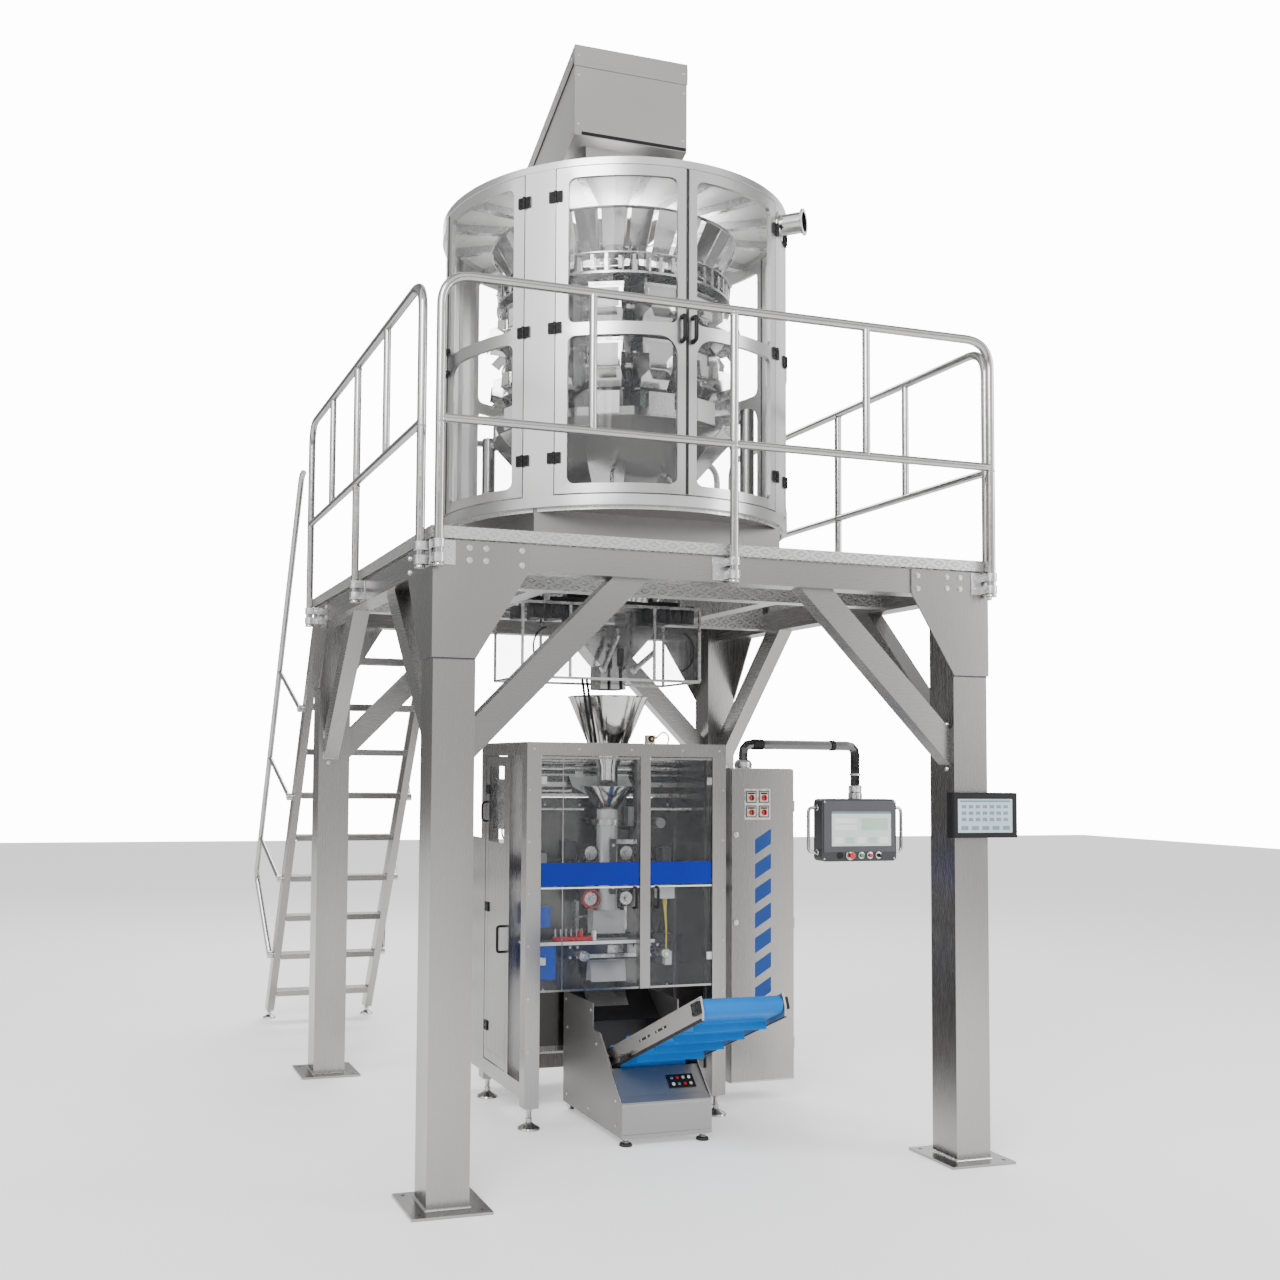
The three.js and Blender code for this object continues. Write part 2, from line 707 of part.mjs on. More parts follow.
const roof = turned([
  [ROOF_HOLE_R, ROOF_HIGH - 8], [CURB_IN, ROOF_HIGH - 8], [CURB_IN, ROOF_LOW], [DRUM_R, ROOF_LOW],
  [DRUM_R, ROOF_HIGH], [ROOF_HOLE_R, ROOF_HIGH],
], DRUM_SIDES);
part('cabinet_roof', roof, brushed, weigher);

// infeed hood: a sloping duct that brings product to the middle of the roof
function hood() {
  const skin = 6;
  const [x0, x1] = [HOOD_X - HOOD_WIDE / 2, HOOD_X + HOOD_WIDE / 2];
  const floor = ROOF_HIGH + GAP;
  const fall = (y) => (y - HOOD_FRONT) * HOOD_FALL;
  const touchY = HOOD_FRONT + (HOOD_UNDER - floor) / HOOD_FALL;
  const outside = [
    [HOOD_FRONT, HOOD_UNDER], [touchY, floor], [HOOD_BACK, floor],
    [HOOD_BACK, HOOD_TOP - fall(HOOD_BACK)], [HOOD_FRONT, HOOD_TOP],
  ];
  const inside = [
    [HOOD_FRONT + skin, HOOD_UNDER + skin + 1], [touchY - 2, floor + skin + 2],
    [HOOD_BACK + 1, floor + skin + 2], [HOOD_BACK + 1, HOOD_TOP - fall(HOOD_BACK) - skin - 2],
    [HOOD_FRONT + skin, HOOD_TOP - skin - 4],
  ];
  const collar = [[x0 + 90, x1 - 40], [HOOD_FRONT + 60, 190]];
  const throat = collar.map(([low, high]) => [low + skin, high - skin]);
  const cap = box([x0 - 4, x1 + 4], [HOOD_FRONT - 4, HOOD_FRONT + 60], [HOOD_TOP - 92, HOOD_TOP - 30]);
  return cut(
    join(prism('x', outside, [x0, x1]), box(...collar, [floor, HOOD_UNDER - 20]), cap),
    prism('x', inside, [x0 + skin, x1 - skin]),
    box(...throat, [floor - 1, HOOD_UNDER]),
  );
}

part('infeed_hood', hood(), sheet, weigher);

// ---------------------------------------------------------------- multihead weigher
function aroundHeads(make) {
  const pieces = [];
  for (let i = 0; i < HEADS; i += 1) {
    pieces.push(make((360 * (i + 0.5)) / HEADS));
  }
  return pieces;
}

function weigherBody() {
  const drum = turned([
    [0, 3700], [110, 3700], [110, 3790], [330, 3860], [400, 3960],
    [400, 4380], [210, 4440], [150, CONE_FOOT], [0, CONE_FOOT],
  ], 14);
  const pieces = [drum];
  for (let i = 0; i < 4; i += 1) {
    const angle = 45 + 90 * i;
    const foot = polar(780, angle);
    pieces.push(rod([...polar(60, angle), 3748], [...foot, 3748], 30, 4));
    pieces.push(rod([...foot, RING_LOW + FLOOR_THICK + GAP], [...foot, 3790], 40, 4));
  }
  return join(pieces);
}

part('weigher_body', weigherBody(), brushed, weigher);

const cone = turned([
  [0, CONE_FOOT + GAP], [24, CONE_FOOT + GAP], [24, 4650], [236, 4592], [242, 4606], [0, 4745],
], 24);
part('dispersion_cone', cone, polished, weigher);

// each pan is a flat-bottomed tray that widens outward
function feedPans() {
  const [rIn, rOut, zLow, wall] = [262, 628, 4462, 4];
  const half = (r) => r * Math.tan(Math.PI / HEADS) - 5;
  const pans = aroundHeads((angle) => {
    const outline = (grow) => [
      [rIn - grow * 9, half(rIn) + grow], [rIn - grow * 9, -half(rIn) - grow],
      [rOut - grow * 9, -half(rOut) - grow], [rOut - grow * 9, half(rOut) + grow],
    ];
    const tray = cut(
      prism('z', outline(0), [zLow, zLow + PAN_TALL]),
      prism('z', outline(-wall), [zLow + wall, zLow + PAN_TALL + 1]),
    );
    return tray.rotate([0, 0, angle]);
  });
  const ring = turned([[215, zLow - 16], [300, zLow - 16], [300, zLow + 2], [215, zLow + 2]], HEADS);
  return join(ring, pans);
}

part('feed_pans', feedPans(), polished, weigher);

// open-topped hoppers, one to a head, hung on a ring
function bucketRing([r0, r1], [z0, z1], wide, ringZ) {
  const wall = 4;
  const taper = 60;
  const shell = (grow, high) => prism('y', [
    [r0 - grow, z0 - grow], [r1 - taper + grow, z0 - grow], [r1 + grow, high], [r0 - grow, high],
  ], [-wide / 2 - grow, wide / 2 + grow]);
  const bucket = cut(shell(0, z1), shell(-wall, z1 + 8));
  const buckets = aroundHeads((angle) => bucket.rotate([0, 0, angle]));
  const ring = turned([
    [r0 - 26, ringZ], [r0 + 3, ringZ], [r0 + 3, ringZ + 24], [r0 - 26, ringZ + 24],
  ], HEADS);
  return join(ring, buckets);
}

part('feed_buckets', bucketRing([470, 640], [4150, 4420], 190, 4300), polished, weigher);
part('weigh_buckets', bucketRing([445, 615], [3830, 4100], 180, 3990), polished, weigher);

const collector = turned([
  [646, 3680], [270, 3262], [270, 3170], [276, 3170], [276, 3258], [652, 3680],
].reverse(), 12);
part('collector_chutes', collector, polished, weigher);

// twin chute under the deck: a collecting funnel, then two inclined ducts that meet over the forming funnel
function dischargeChute() {
  const funnel = turned([[330, 3100], [250, 2770], [256, 2770], [336, 3100]].reverse(), 12, BAG_X);
  const plate = box([BAG_X - 330, BAG_X + 330], [-130, 130], [2748, 2772]);
  const duct = (side, grow) => {
    const at = (along) => BAG_X + side * along;
    const top = grow < 0 ? 2790 : 2760;
    const low = 2300 + grow * 3;
    const [near, far, spout] = [70 - grow, 250 + grow, 75 + grow];
    const outline = [
      [at(far), top], [at(near), top], [at(near), 2650], [at(-spout), 2480],
      [at(-spout), low], [at(spout), low], [at(spout), 2430], [at(far), 2620],
    ];
    return prism('y', side < 0 ? outline : outline.reverse(), [-75 - grow, 75 + grow]);
  };
  return cut(join(funnel, plate, duct(-1, 0), duct(1, 0)), duct(-1, -4), duct(1, -4));
}

part('discharge_chute', dischargeChute(), polished, weigher);

// ---------------------------------------------------------------- bagging machine frame
function machineFrame() {
  const posts = [];
  const inX = [MACHINE_X0 + POST, MACHINE_X1 - POST];
  const inY = [MACHINE_Y0 + POST, MACHINE_Y1 - POST];
  for (const x of [[MACHINE_X0, inX[0]], [inX[1], MACHINE_X1]]) {
    for (const y of [[MACHINE_Y0, inY[0]], [inY[1], MACHINE_Y1]]) {
      posts.push(box(x, y, [POST_FOOT_Z, MACHINE_TOP]));
    }
  }
  const whole = { x: [MACHINE_X0, MACHINE_X1], y: [MACHINE_Y0, MACHINE_Y1] };
  const topZ = [MACHINE_TOP - TOP_RAIL_DEEP, MACHINE_TOP];
  const lowZ = FLOOR_RAIL_Z;
  const rails = [
    box(whole.x, [MACHINE_Y0, inY[0]], topZ),
    box(whole.x, [inY[1], MACHINE_Y1], topZ),
    box([MACHINE_X0, inX[0]], whole.y, topZ),
    box([inX[1], MACHINE_X1], whole.y, topZ),
    box([MACHINE_X0, inX[0]], whole.y, lowZ),
    box([inX[1], MACHINE_X1], whole.y, lowZ),
    box(whole.x, [inY[1], MACHINE_Y1], lowZ),
    box(MULLION_X, [MACHINE_Y0, MACHINE_Y0 + 50], [DOOR_BOTTOM, MACHINE_TOP - 60]),
    box([inX[0] - 1, inX[1] + 1], [BACKPLATE_Y, BACKPLATE_Y + 12], [300, 1700]),
    box([inX[1] - 1, MACHINE_X1 - 30], [inY[0] - 1, inY[1] + 1], SIDE_SHEET_Z),
    box([MACHINE_X0, inX[0]], [-20, 30], SIDE_SHEET_Z),
    box([inX[0] - 1, inX[0] + 20], [BACKPLATE_Y - 5, BACKPLATE_Y + 60], SIDE_SHEET_Z),
    box([inX[1] - 20, inX[1] + 1], [BACKPLATE_Y - 5, BACKPLATE_Y + 60], SIDE_SHEET_Z),
    box([inX[0] - 60, 165], [-235, -130], [938, 950]),
  ];
  const rear = [
    box([MACHINE_X0, MACHINE_X0 + 10], [MACHINE_Y1 - 60, REAR_Y1], [150, 1460]),
    box([MACHINE_X1 - 10, MACHINE_X1], [MACHINE_Y1 - 60, REAR_Y1], [150, 1460]),
    box(whole.x, [MACHINE_Y1 - 60, REAR_Y1], [150, 160]),
    box(whole.x, [REAR_Y1 - 30, REAR_Y1], [150, 330]),
  ];
  const slide = prism('x', [
    [BACKPLATE_Y + 1, 560], [BACKPLATE_Y + 1, 800], [BACKPLATE_Y - 4, 800], [-40, 566], [-40, 560],
  ], [BAG_X - 120, BAG_X + 120]);
  const guides = GUIDE_X.map(
    (x) => rod([x, BACKPLATE_Y + 2, GUIDE_Z], [x, -262, GUIDE_Z], GUIDE_R, 8),
  );
  const feet = [];
  for (const x of [MACHINE_X0 + FOOT_IN, MACHINE_X1 - FOOT_IN]) {
    for (const y of [MACHINE_Y0 + FOOT_IN, MACHINE_Y1 - FOOT_IN]) {
      feet.push(levelFoot(x, y, 48, 11, POST_FOOT_Z + 4));
    }
  }
  return join(posts, rails, rear, slide, guides, feet);
}

const machine = new THREE.Group();
group.add(machine);
part('machine_frame', machineFrame(), brushed, machine);

// clear guard doors between the posts
function guardDoor([x0, x1], handleX) {
  const y = [MACHINE_Y0 + 8, MACHINE_Y0 + 20];
  const pane = box([x0, x1], y, [DOOR_BOTTOM, MACHINE_TOP - 74]);
  return join(pane, pullHandle([handleX, y[0], DOOR_PULL_Z], [0, -1], 120));
}

part('guard_door_left', guardDoor([MACHINE_X0 + POST + 2, MULLION_X[0] - 3], 20), clear, machine);
part('guard_door_right', guardDoor([MULLION_X[1] + 3, MACHINE_X1 - POST - 2], 146), clear, machine);

function sideDoor() {
  const x = [MACHINE_X0 + 4, MACHINE_X0 + 16];
  return join(box(x, [34, 406], [234, MACHINE_TOP - 74]), pullHandle([x[0], 62, 860], [-1, 0], 150));
}

part('side_door', sideDoor(), clear, machine);

// forming tube: funnel, tube, shoulder and the bracket that carries them
function formingTube() {
  const low = 1092;
  const shell = turned([
    [FUNNEL_R, FUNNEL_TOP], [TUBE_R, 1870], [TUBE_R, low],
    [TUBE_R - 3, low], [TUBE_R - 3, 1871], [FUNNEL_R - 4, FUNNEL_TOP],
  ], 16, BAG_X);
  const shoulder = turned([
    [TUBE_R - 1, 1640], [TUBE_R + 8, 1650], [150, 1760], [148, 1766], [TUBE_R - 1, 1690],
  ], 16, BAG_X);
  const bracket = cut(
    box([BAG_X - 70, BAG_X + 70], [-20, BACKPLATE_Y - GAP], [1560, 1580]),
    rod([BAG_X, 0, 1550], [BAG_X, 0, 1590], TUBE_R - 1.5, 16),
  );
  return join(shell, shoulder, bracket);
}

part('forming_tube', formingTube(), polished, machine);

// a film pulling belt on its two pulleys, with its motor box behind
function pullBelt(side) {
  const r = PULLEY_R;
  const cx = BAG_X + side * (TUBE_R + r + 4);
  const outline = [];
  const steps = 8;
  for (let i = 0; i <= steps; i += 1) {
    const a = (Math.PI * i) / steps;
    outline.push([cx + r * Math.cos(a), PULLEY_HIGH + r * Math.sin(a)]);
  }
  for (let i = 0; i <= steps; i += 1) {
    const a = Math.PI + (Math.PI * i) / steps;
    outline.push([cx + r * Math.cos(a), PULLEY_LOW + r * Math.sin(a)]);
  }
  const arm = [cx - 22 + side * 10, cx + 22 + side * 10];
  return join(prism('y', outline, [-28, 28]), box(arm, [27, 96], [1200, 1350]));
}

part('pull_belt_left', pullBelt(-1), darkMetal, machine);
part('pull_belt_right', pullBelt(1), darkMetal, machine);

const sealer = join(
  box([BAG_X - 18, BAG_X + 18], [-92, -64], [1180, 1480]),
  box([BAG_X, 190], [-92, -76], [1450, 1478]),
);
part('vertical_sealer', sealer, darkMetal, machine);

// the two cross sealing jaws, bored for the guide rods they slide on
function jaw([y0, y1]) {
  const bores = GUIDE_X.map(
    (x) => rod([x, y0 - 5, GUIDE_Z], [x, y1 + 5, GUIDE_Z], GUIDE_R + 1.5, 8),
  );
  const ends = [GUIDE_X[0] - 40, GUIDE_X[1] + 40];
  return cut(box(ends, [y0, y1], [GUIDE_Z - JAW_HALF, GUIDE_Z + JAW_HALF]), bores);
}

part('jaw_front', jaw([-110, -30]), jawBlue, machine);
part('jaw_back', jaw([30, 110]), jawBlue, machine);

const roll = join(
  rod([MACHINE_X0 + 60, ROLL_Y, ROLL_Z], [MACHINE_X1 - 60, ROLL_Y, ROLL_Z], ROLL_R, 20),
  rod([MACHINE_X0 + 12, ROLL_Y, ROLL_Z], [MACHINE_X1 - 12, ROLL_Y, ROLL_Z], 20, 8),
);
part('film_roll', roll, film, machine);

// ---------------------------------------------------------------- electrical cabinet
const electrical = cut(
  box([CAB_X0, CAB_X1], [CAB_Y0, CAB_Y1], [CAB_Z0, CAB_Z1]),
  box(
    [CAB_X0 + CAB_WALL, CAB_X1 - CAB_WALL],
    [CAB_Y0 - 1, CAB_Y1 - CAB_WALL],
    [CAB_Z0 + CAB_WALL, CAB_Z1 - CAB_WALL],
  ),
);
// the two brackets it hangs by on the machine's side
const hangers = HANGER_HEIGHTS.map(
  (z) => box([MACHINE_X1 + GAP, CAB_X0 + 1], [CAB_Y0 + 130, CAB_Y1 - 60], [z, z + 50]),
);
part('electrical_cabinet', join(electrical, hangers), sheet, machine);
const electricalDoor = box([CAB_X0 + 2, CAB_X1 - 2], [CAB_Y0 - 19, CAB_Y0 - 0.6], [CAB_Z0 + 5, CAB_Z1 - 5]);
part('electrical_door', electricalDoor, sheet, machine);

// ---------------------------------------------------------------- operator panel on its swivel arm
const arm = join(
  bentRod([
    [ARM_X, ARM_Y, CAB_Z1 + GAP], [ARM_X, ARM_Y, ARM_Z],
    [PANEL_X, ARM_Y, ARM_Z], [PANEL_X, ARM_Y, PANEL_HIGH + 42],
  ], 27, 52, 8),
  rod([ARM_X, ARM_Y, CAB_Z1 + GAP], [ARM_X, ARM_Y, CAB_Z1 + 34], 46, 10),
  rod([PANEL_X, ARM_Y, PANEL_HIGH + 36], [PANEL_X, ARM_Y, PANEL_HIGH + 78], 36, 10),
);
part('hmi_arm', arm, brushed, machine);

const panelX = [PANEL_X - PANEL_WIDE / 2, PANEL_X + PANEL_WIDE / 2];
const panelY = [ARM_Y - 45, ARM_Y + 45];
function panelHandle(side) {
  const x = PANEL_X + side * (PANEL_WIDE / 2);
  return bentRod([
    [x - side * 4, ARM_Y, PANEL_LOW + 52], [x + side * 62, ARM_Y, PANEL_LOW + 52],
    [x + side * 62, ARM_Y, PANEL_HIGH - 52], [x - side * 4, ARM_Y, PANEL_HIGH - 52],
  ], 10, 30, 6);
}

const BUTTON_Z = PANEL_LOW + 34;
const BUTTONS = [
  { name: 'estop_button', x: PANEL_X - 62, radius: 19, proud: 26, material: red },
  { name: 'start_button', x: PANEL_X + 12, radius: 12, proud: 10, material: green },
  { name: 'stop_button', x: PANEL_X + 70, radius: 12, proud: 10, material: red },
  { name: 'selector_knob', x: PANEL_X + 128, radius: 12, proud: 12, material: black },
];
const buttonHoles = BUTTONS.map(
  ({ x }) => rod([x, panelY[0] - 1, BUTTON_Z], [x, panelY[0] + 26, BUTTON_Z], 10, 8),
);
const panelBody = cut(
  join(
    box(panelX, panelY, [PANEL_LOW, PANEL_HIGH]),
    panelHandle(-1),
    panelHandle(1),
    rod([PANEL_X, ARM_Y, PANEL_HIGH - 2], [PANEL_X, ARM_Y, PANEL_HIGH + 36 - GAP], 40, 10),
  ),
  buttonHoles,
);
part('hmi_panel', panelBody, bezel, machine);

BUTTONS.forEach(({ name, x, radius, proud, material }) => {
  const face = -6;
  const solid = join(
    rod([0, face, 0], [0, 18, 0], 8, 6),
    rod([0, face - proud, 0], [0, face, 0], radius, 10),
    name === 'selector_knob' ? box([-3, 3], [face - proud - 8, face - proud + 1], [-11, 11]) : [],
  );
  part(name, solid, material, machine).position.set(x, panelY[0], BUTTON_Z);
});

// weigher's own touch panel, on the front right platform leg
const weigherPanel = join(
  box([1148, 1516], [-1482, -1438], [1552, 1768]),
  rod([1310, -1440, 1660], [1310, -FRAME_HALF - GAP, 1660], 26, 10),
);
part('weigher_hmi', weigherPanel, black, machine);

// ---------------------------------------------------------------- take-away conveyor
function conveyorBase() {
  const skin = 5;
  const x = [CONV_X0, CONV_X1];
  const sideOutline = [[-720, 40], [100, 40], [100, 505], [-430, 505], [-720, 215]];
  const tubOutside = [[-720, 40], [100, 40], [100, 240], [-690, 240], [-720, 215]];
  const shell = cut(
    prism('x', tubOutside, x),
    box([x[0] + skin, x[1] - skin], [-715, 95], [40 + skin, 210]),
    box([x[0] + skin, x[1] - skin], [-540, 95], [200, 260]),
  );
  const pieces = [
    shell,
    prism('x', sideOutline, [x[0], x[0] + skin]),
    prism('x', sideOutline, [x[1] - skin, x[1]]),
    box([x[0] + 1, x[1] - 1], [95, 100], [200, 505]),
    prism('x', [[-716, 214], [-712, 214], [-560, 352], [-566, 352]], [x[0] + 1, x[1] - 1]),
  ];
  const guard = [[-330, 100], [500, 640]];
  pieces.push(box([x[0], x[0] + skin], ...guard), box([x[1] - skin, x[1]], ...guard));
  for (const footX of [x[0] + 35, x[1] - 35]) {
    pieces.push(levelFoot(footX, -685, 30, 10, 44));
    pieces.push(rod([footX - 12, 60, 26], [footX + 12, 60, 26], 26, 10));
    pieces.push(box([footX - 16, footX + 16], [50, 70], [24, 44]));
  }
  return join(pieces);
}

const BED_RUN = Math.hypot(HEAD_Y - TAIL_Y, HEAD_Z - TAIL_Z);
const BED_ALONG = [(HEAD_Y - TAIL_Y) / BED_RUN, (HEAD_Z - TAIL_Z) / BED_RUN];
const BED_UP = [BED_ALONG[1], -BED_ALONG[0]];

// a point of the bed's side view: along from the tail roller, and up square to the belt
function bedPoint(along, up) {
  return [
    TAIL_Y + BED_ALONG[0] * along + BED_UP[0] * up,
    TAIL_Z + BED_ALONG[1] * along + BED_UP[1] * up,
  ];
}

function beltOutline(radius, steps) {
  const points = [];
  for (let i = 0; i <= steps; i += 1) {
    const a = -QUARTER + (Math.PI * i) / steps;
    points.push(bedPoint(BED_RUN + radius * Math.cos(a), radius * Math.sin(a)));
  }
  for (let i = 0; i <= steps; i += 1) {
    const a = QUARTER + (Math.PI * i) / steps;
    points.push(bedPoint(radius * Math.cos(a), radius * Math.sin(a)));
  }
  return points;
}

function conveyorBed() {
  const side = [
    [-30, -58], [BED_RUN + 22, -58], [BED_RUN + 40, -20], [BED_RUN + 40, 44], [-30, 44],
  ].map((point) => bedPoint(...point));
  const inside = ROLLER_R - 4;
  const slider = [
    [60, -inside], [BED_RUN - 60, -inside], [BED_RUN - 60, inside], [60, inside],
  ].map((point) => bedPoint(...point));
  const bores = [bedPoint(0, 0), bedPoint(BED_RUN, 0)].map(
    (at) => rod([BED_X0 - 5, ...at], [BED_X1 + 5, ...at], 12, 8),
  );
  return cut(
    join(
      prism('x', side, [BED_X0, BED_X0 + 10]),
      prism('x', side, [BED_X1 - 10, BED_X1]),
      prism('x', slider, [BED_X0 + 9, BED_X1 - 9]),
    ),
    bores,
  );
}

const conveyor = new THREE.Group();
group.add(conveyor);
part('conveyor_base', conveyorBase(), brushed, conveyor);
part('conveyor_bed', conveyorBed(), sheet, conveyor);

const beltX = [BED_X0 + 14, BED_X1 - 14];
const belt = cut(
  prism('x', beltOutline(ROLLER_R + GAP + BELT_THICK, 8), beltX),
  prism('x', beltOutline(ROLLER_R + GAP, 8), [beltX[0] - 1, beltX[1] + 1]),
);
part('conveyor_belt', belt, beltBlue, conveyor);

function roller(along) {
  const at = bedPoint(along, 0);
  return join(
    rod([beltX[0] + 2, ...at], [beltX[1] - 2, ...at], ROLLER_R - 0.6, 14),
    rod([BED_X0 - 8, ...at], [BED_X1 + 8, ...at], 10, 8),
  );
}

part('drive_roller', roller(BED_RUN), darkMetal, conveyor);
part('tail_roller', roller(0), darkMetal, conveyor);

// the origin is the middle of the footprint, on the floor
const bounds = new THREE.Box3().setFromObject(group);
const middle = bounds.getCenter(new THREE.Vector3());
group.position.set(-middle.x, -middle.y, -bounds.min.z);

export default group;
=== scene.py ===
"""The looks of the vertical form fill sealer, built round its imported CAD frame.

Every size is in millimetres about the platform's centre line on the floor: X to the operator's right,
Y away from the operator, Z up. Piece turns them into the frame's metres.
"""
import math

import bmesh
import bpy
from mathutils import Matrix, Vector


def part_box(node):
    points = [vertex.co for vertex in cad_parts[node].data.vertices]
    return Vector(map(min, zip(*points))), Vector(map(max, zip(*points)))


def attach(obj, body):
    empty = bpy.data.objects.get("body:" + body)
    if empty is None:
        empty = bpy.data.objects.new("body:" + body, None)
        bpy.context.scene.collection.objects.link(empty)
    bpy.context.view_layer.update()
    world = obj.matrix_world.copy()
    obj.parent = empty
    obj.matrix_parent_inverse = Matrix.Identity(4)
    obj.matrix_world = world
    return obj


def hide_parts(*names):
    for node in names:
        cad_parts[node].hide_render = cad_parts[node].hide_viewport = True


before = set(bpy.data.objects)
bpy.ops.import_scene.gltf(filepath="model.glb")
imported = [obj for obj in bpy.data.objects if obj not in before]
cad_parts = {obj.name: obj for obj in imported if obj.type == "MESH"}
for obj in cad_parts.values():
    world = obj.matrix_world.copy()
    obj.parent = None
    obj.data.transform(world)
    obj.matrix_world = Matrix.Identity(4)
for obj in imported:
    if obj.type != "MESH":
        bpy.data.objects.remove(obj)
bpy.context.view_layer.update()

CENTRE = (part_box("leg_front_left")[0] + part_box("leg_back_right")[1]) / 2
CENTRE.z = 0
ROOT = "structure"
UP = Vector((0, 0, 1))
FRONT = (0, -1, 0)
CAMERA_AT = (-2921.2, -6996.8, 1876.7)
YAW, PITCH, ROLL = 0.3142, 0.0538, 0.0103
LENS, SENSOR = 38.24, 36
SHIFT = (0.1096, 0.0405)
# Each light: its name, its place, what it looks at, its size in metres and its power in watts.
LIGHTS = (("key", (-5200, -7600, 7600), (0, 0, 2600), (4.0, 4.0), 860),
          ("fill", (7000, -5200, 4200), (0, 0, 2600), (3.0, 5.0), 330),
          ("back", (1500, 7500, 8200), (0, 0, 3000), (6.0, 4.0), 700),
          ("cabinet", (0, 0, 4770), (0, 0, 5000), (0.9, 0.9), 28))
BACKDROP = 14.0
FLOOR_HALF, FLOOR_DROP, FLOOR_GLOW = 26.0, 0.0006, 0.38
# How bright the mirrored room is: from straight down to straight up, and all the way round.
ROOM_HEIGHT = ((0.0, 0.50), (0.375, 0.40), (0.5, 0.55), (0.56, 0.95), (0.675, 1.45), (0.8, 1.2),
               (1.0, 0.85))
ROOM_ROUND = ((0.0, 1.2), (0.06, 1.0), (0.11, 0.45), (0.16, 1.8), (0.23, 1.9), (0.28, 0.45), (0.40, 0.42),
              (0.46, 0.32), (0.52, 0.45), (0.58, 1.2), (0.68, 1.4), (0.76, 0.32), (0.82, 0.28),
              (0.87, 1.25), (0.93, 1.1), (0.965, 1.6), (1.0, 1.2))


# ------------------------------------------------------------------ camera, light and floor
def place(x, y, z):
    return CENTRE + Vector((x, y, z)) / 1000


def add_camera():
    ahead = Vector((math.sin(YAW), math.cos(YAW), 0))
    side = Vector((math.cos(YAW), -math.sin(YAW), 0))
    look = ahead * math.cos(PITCH) + UP * math.sin(PITCH)
    lift = UP * math.cos(PITCH) - ahead * math.sin(PITCH)
    right = side * math.cos(ROLL) + lift * math.sin(ROLL)
    top = lift * math.cos(ROLL) - side * math.sin(ROLL)
    data = bpy.data.cameras.new("camera")
    data.lens, data.sensor_width = LENS, SENSOR
    data.shift_x, data.shift_y = SHIFT
    camera = bpy.data.objects.new("camera", data)
    turn = Matrix((right, top, -look)).transposed().to_4x4()
    camera.matrix_world = Matrix.Translation(place(*CAMERA_AT)) @ turn
    bpy.context.scene.collection.objects.link(camera)
    bpy.context.scene.camera = camera


def add_light(name, at, target, size, power):
    data = bpy.data.lights.new(name, "AREA")
    data.shape = "RECTANGLE"
    data.size, data.size_y = size
    data.energy = power
    lamp = bpy.data.objects.new(name, data)
    lamp.location = place(*at)
    lamp.rotation_mode = "QUATERNION"
    lamp.rotation_quaternion = (place(*target) - lamp.location).to_track_quat("-Z", "Y")
    bpy.context.scene.collection.objects.link(lamp)


def add_node(tree, kind, inputs=None, **settings):
    """A new shader node; inputs maps each of its sockets to a value or to the socket that feeds it."""
    made = tree.nodes.new("ShaderNode" + kind)
    for key, value in settings.items():
        setattr(made, key, value)
    for key, value in (inputs or {}).items():
        if isinstance(value, bpy.types.NodeSocket):
            tree.links.new(value, made.inputs[key])
        else:
            made.inputs[key].default_value = value
    return made


def maths(tree, operation, *values):
    return add_node(tree, "Math", dict(enumerate(values)), operation=operation).outputs[0]


def add_world():
    """A white backdrop, and a room of soft boxes with darker gaps between them for the steel to mirror."""
    world = bpy.data.worlds.new("studio")
    world.use_nodes = True
    tree = world.node_tree
    coord = add_node(tree, "TexCoord")
    split = add_node(tree, "SeparateXYZ", {0: coord.outputs["Generated"]}).outputs
    around = maths(tree, "ARCTAN2", split["X"], split["Y"])
    greys = []
    for source, reach, stops in ((split["Z"], 1, ROOM_HEIGHT), (around, math.pi, ROOM_ROUND)):
        spread = add_node(tree, "MapRange", {"Value": source, "From Min": -reach, "From Max": reach})
        ramp = add_node(tree, "ValToRGB", {"Fac": spread.outputs["Result"]})
        ramp.color_ramp.interpolation = "EASE"
        ends = ramp.color_ramp.elements
        for end, (position, grey) in zip(ends, (stops[0], stops[-1])):
            end.position, end.color = position, (grey, grey, grey, 1)
        for position, grey in stops[1:-1]:
            ends.new(position).color = (grey, grey, grey, 1)
        greys.append(ramp.outputs["Color"])
    room = add_node(tree, "VectorMath", dict(enumerate(greys)), operation="MULTIPLY")
    sight = add_node(tree, "LightPath")
    choose = add_node(tree, "Mix", {"Factor": sight.outputs["Is Camera Ray"]}, data_type="RGBA")
    colour_in = [socket for socket in choose.inputs if socket.type == "RGBA"]
    colour_out = [socket for socket in choose.outputs if socket.type == "RGBA"]
    tree.links.new(room.outputs["Vector"], colour_in[0])
    colour_in[1].default_value = (BACKDROP, BACKDROP, BACKDROP, 1)
    tree.links.new(colour_out[0], tree.nodes["Background"].inputs["Color"])
    tree.nodes["Background"].inputs["Strength"].default_value = 1.0
    bpy.context.scene.world = world


# ------------------------------------------------------------------ materials
def shader(name, colour, rough, metal=0.0, **more):
    mat = bpy.data.materials.new(name)
    mat.use_nodes = True
    bsdf = mat.node_tree.nodes["Principled BSDF"]
    bsdf.inputs["Base Color"].default_value = (*colour, 1)
    bsdf.inputs["Roughness"].default_value = rough
    bsdf.inputs["Metallic"].default_value = metal
    for key, value in more.items():
        bsdf.inputs[key.replace("_", " ")].default_value = value
    return mat


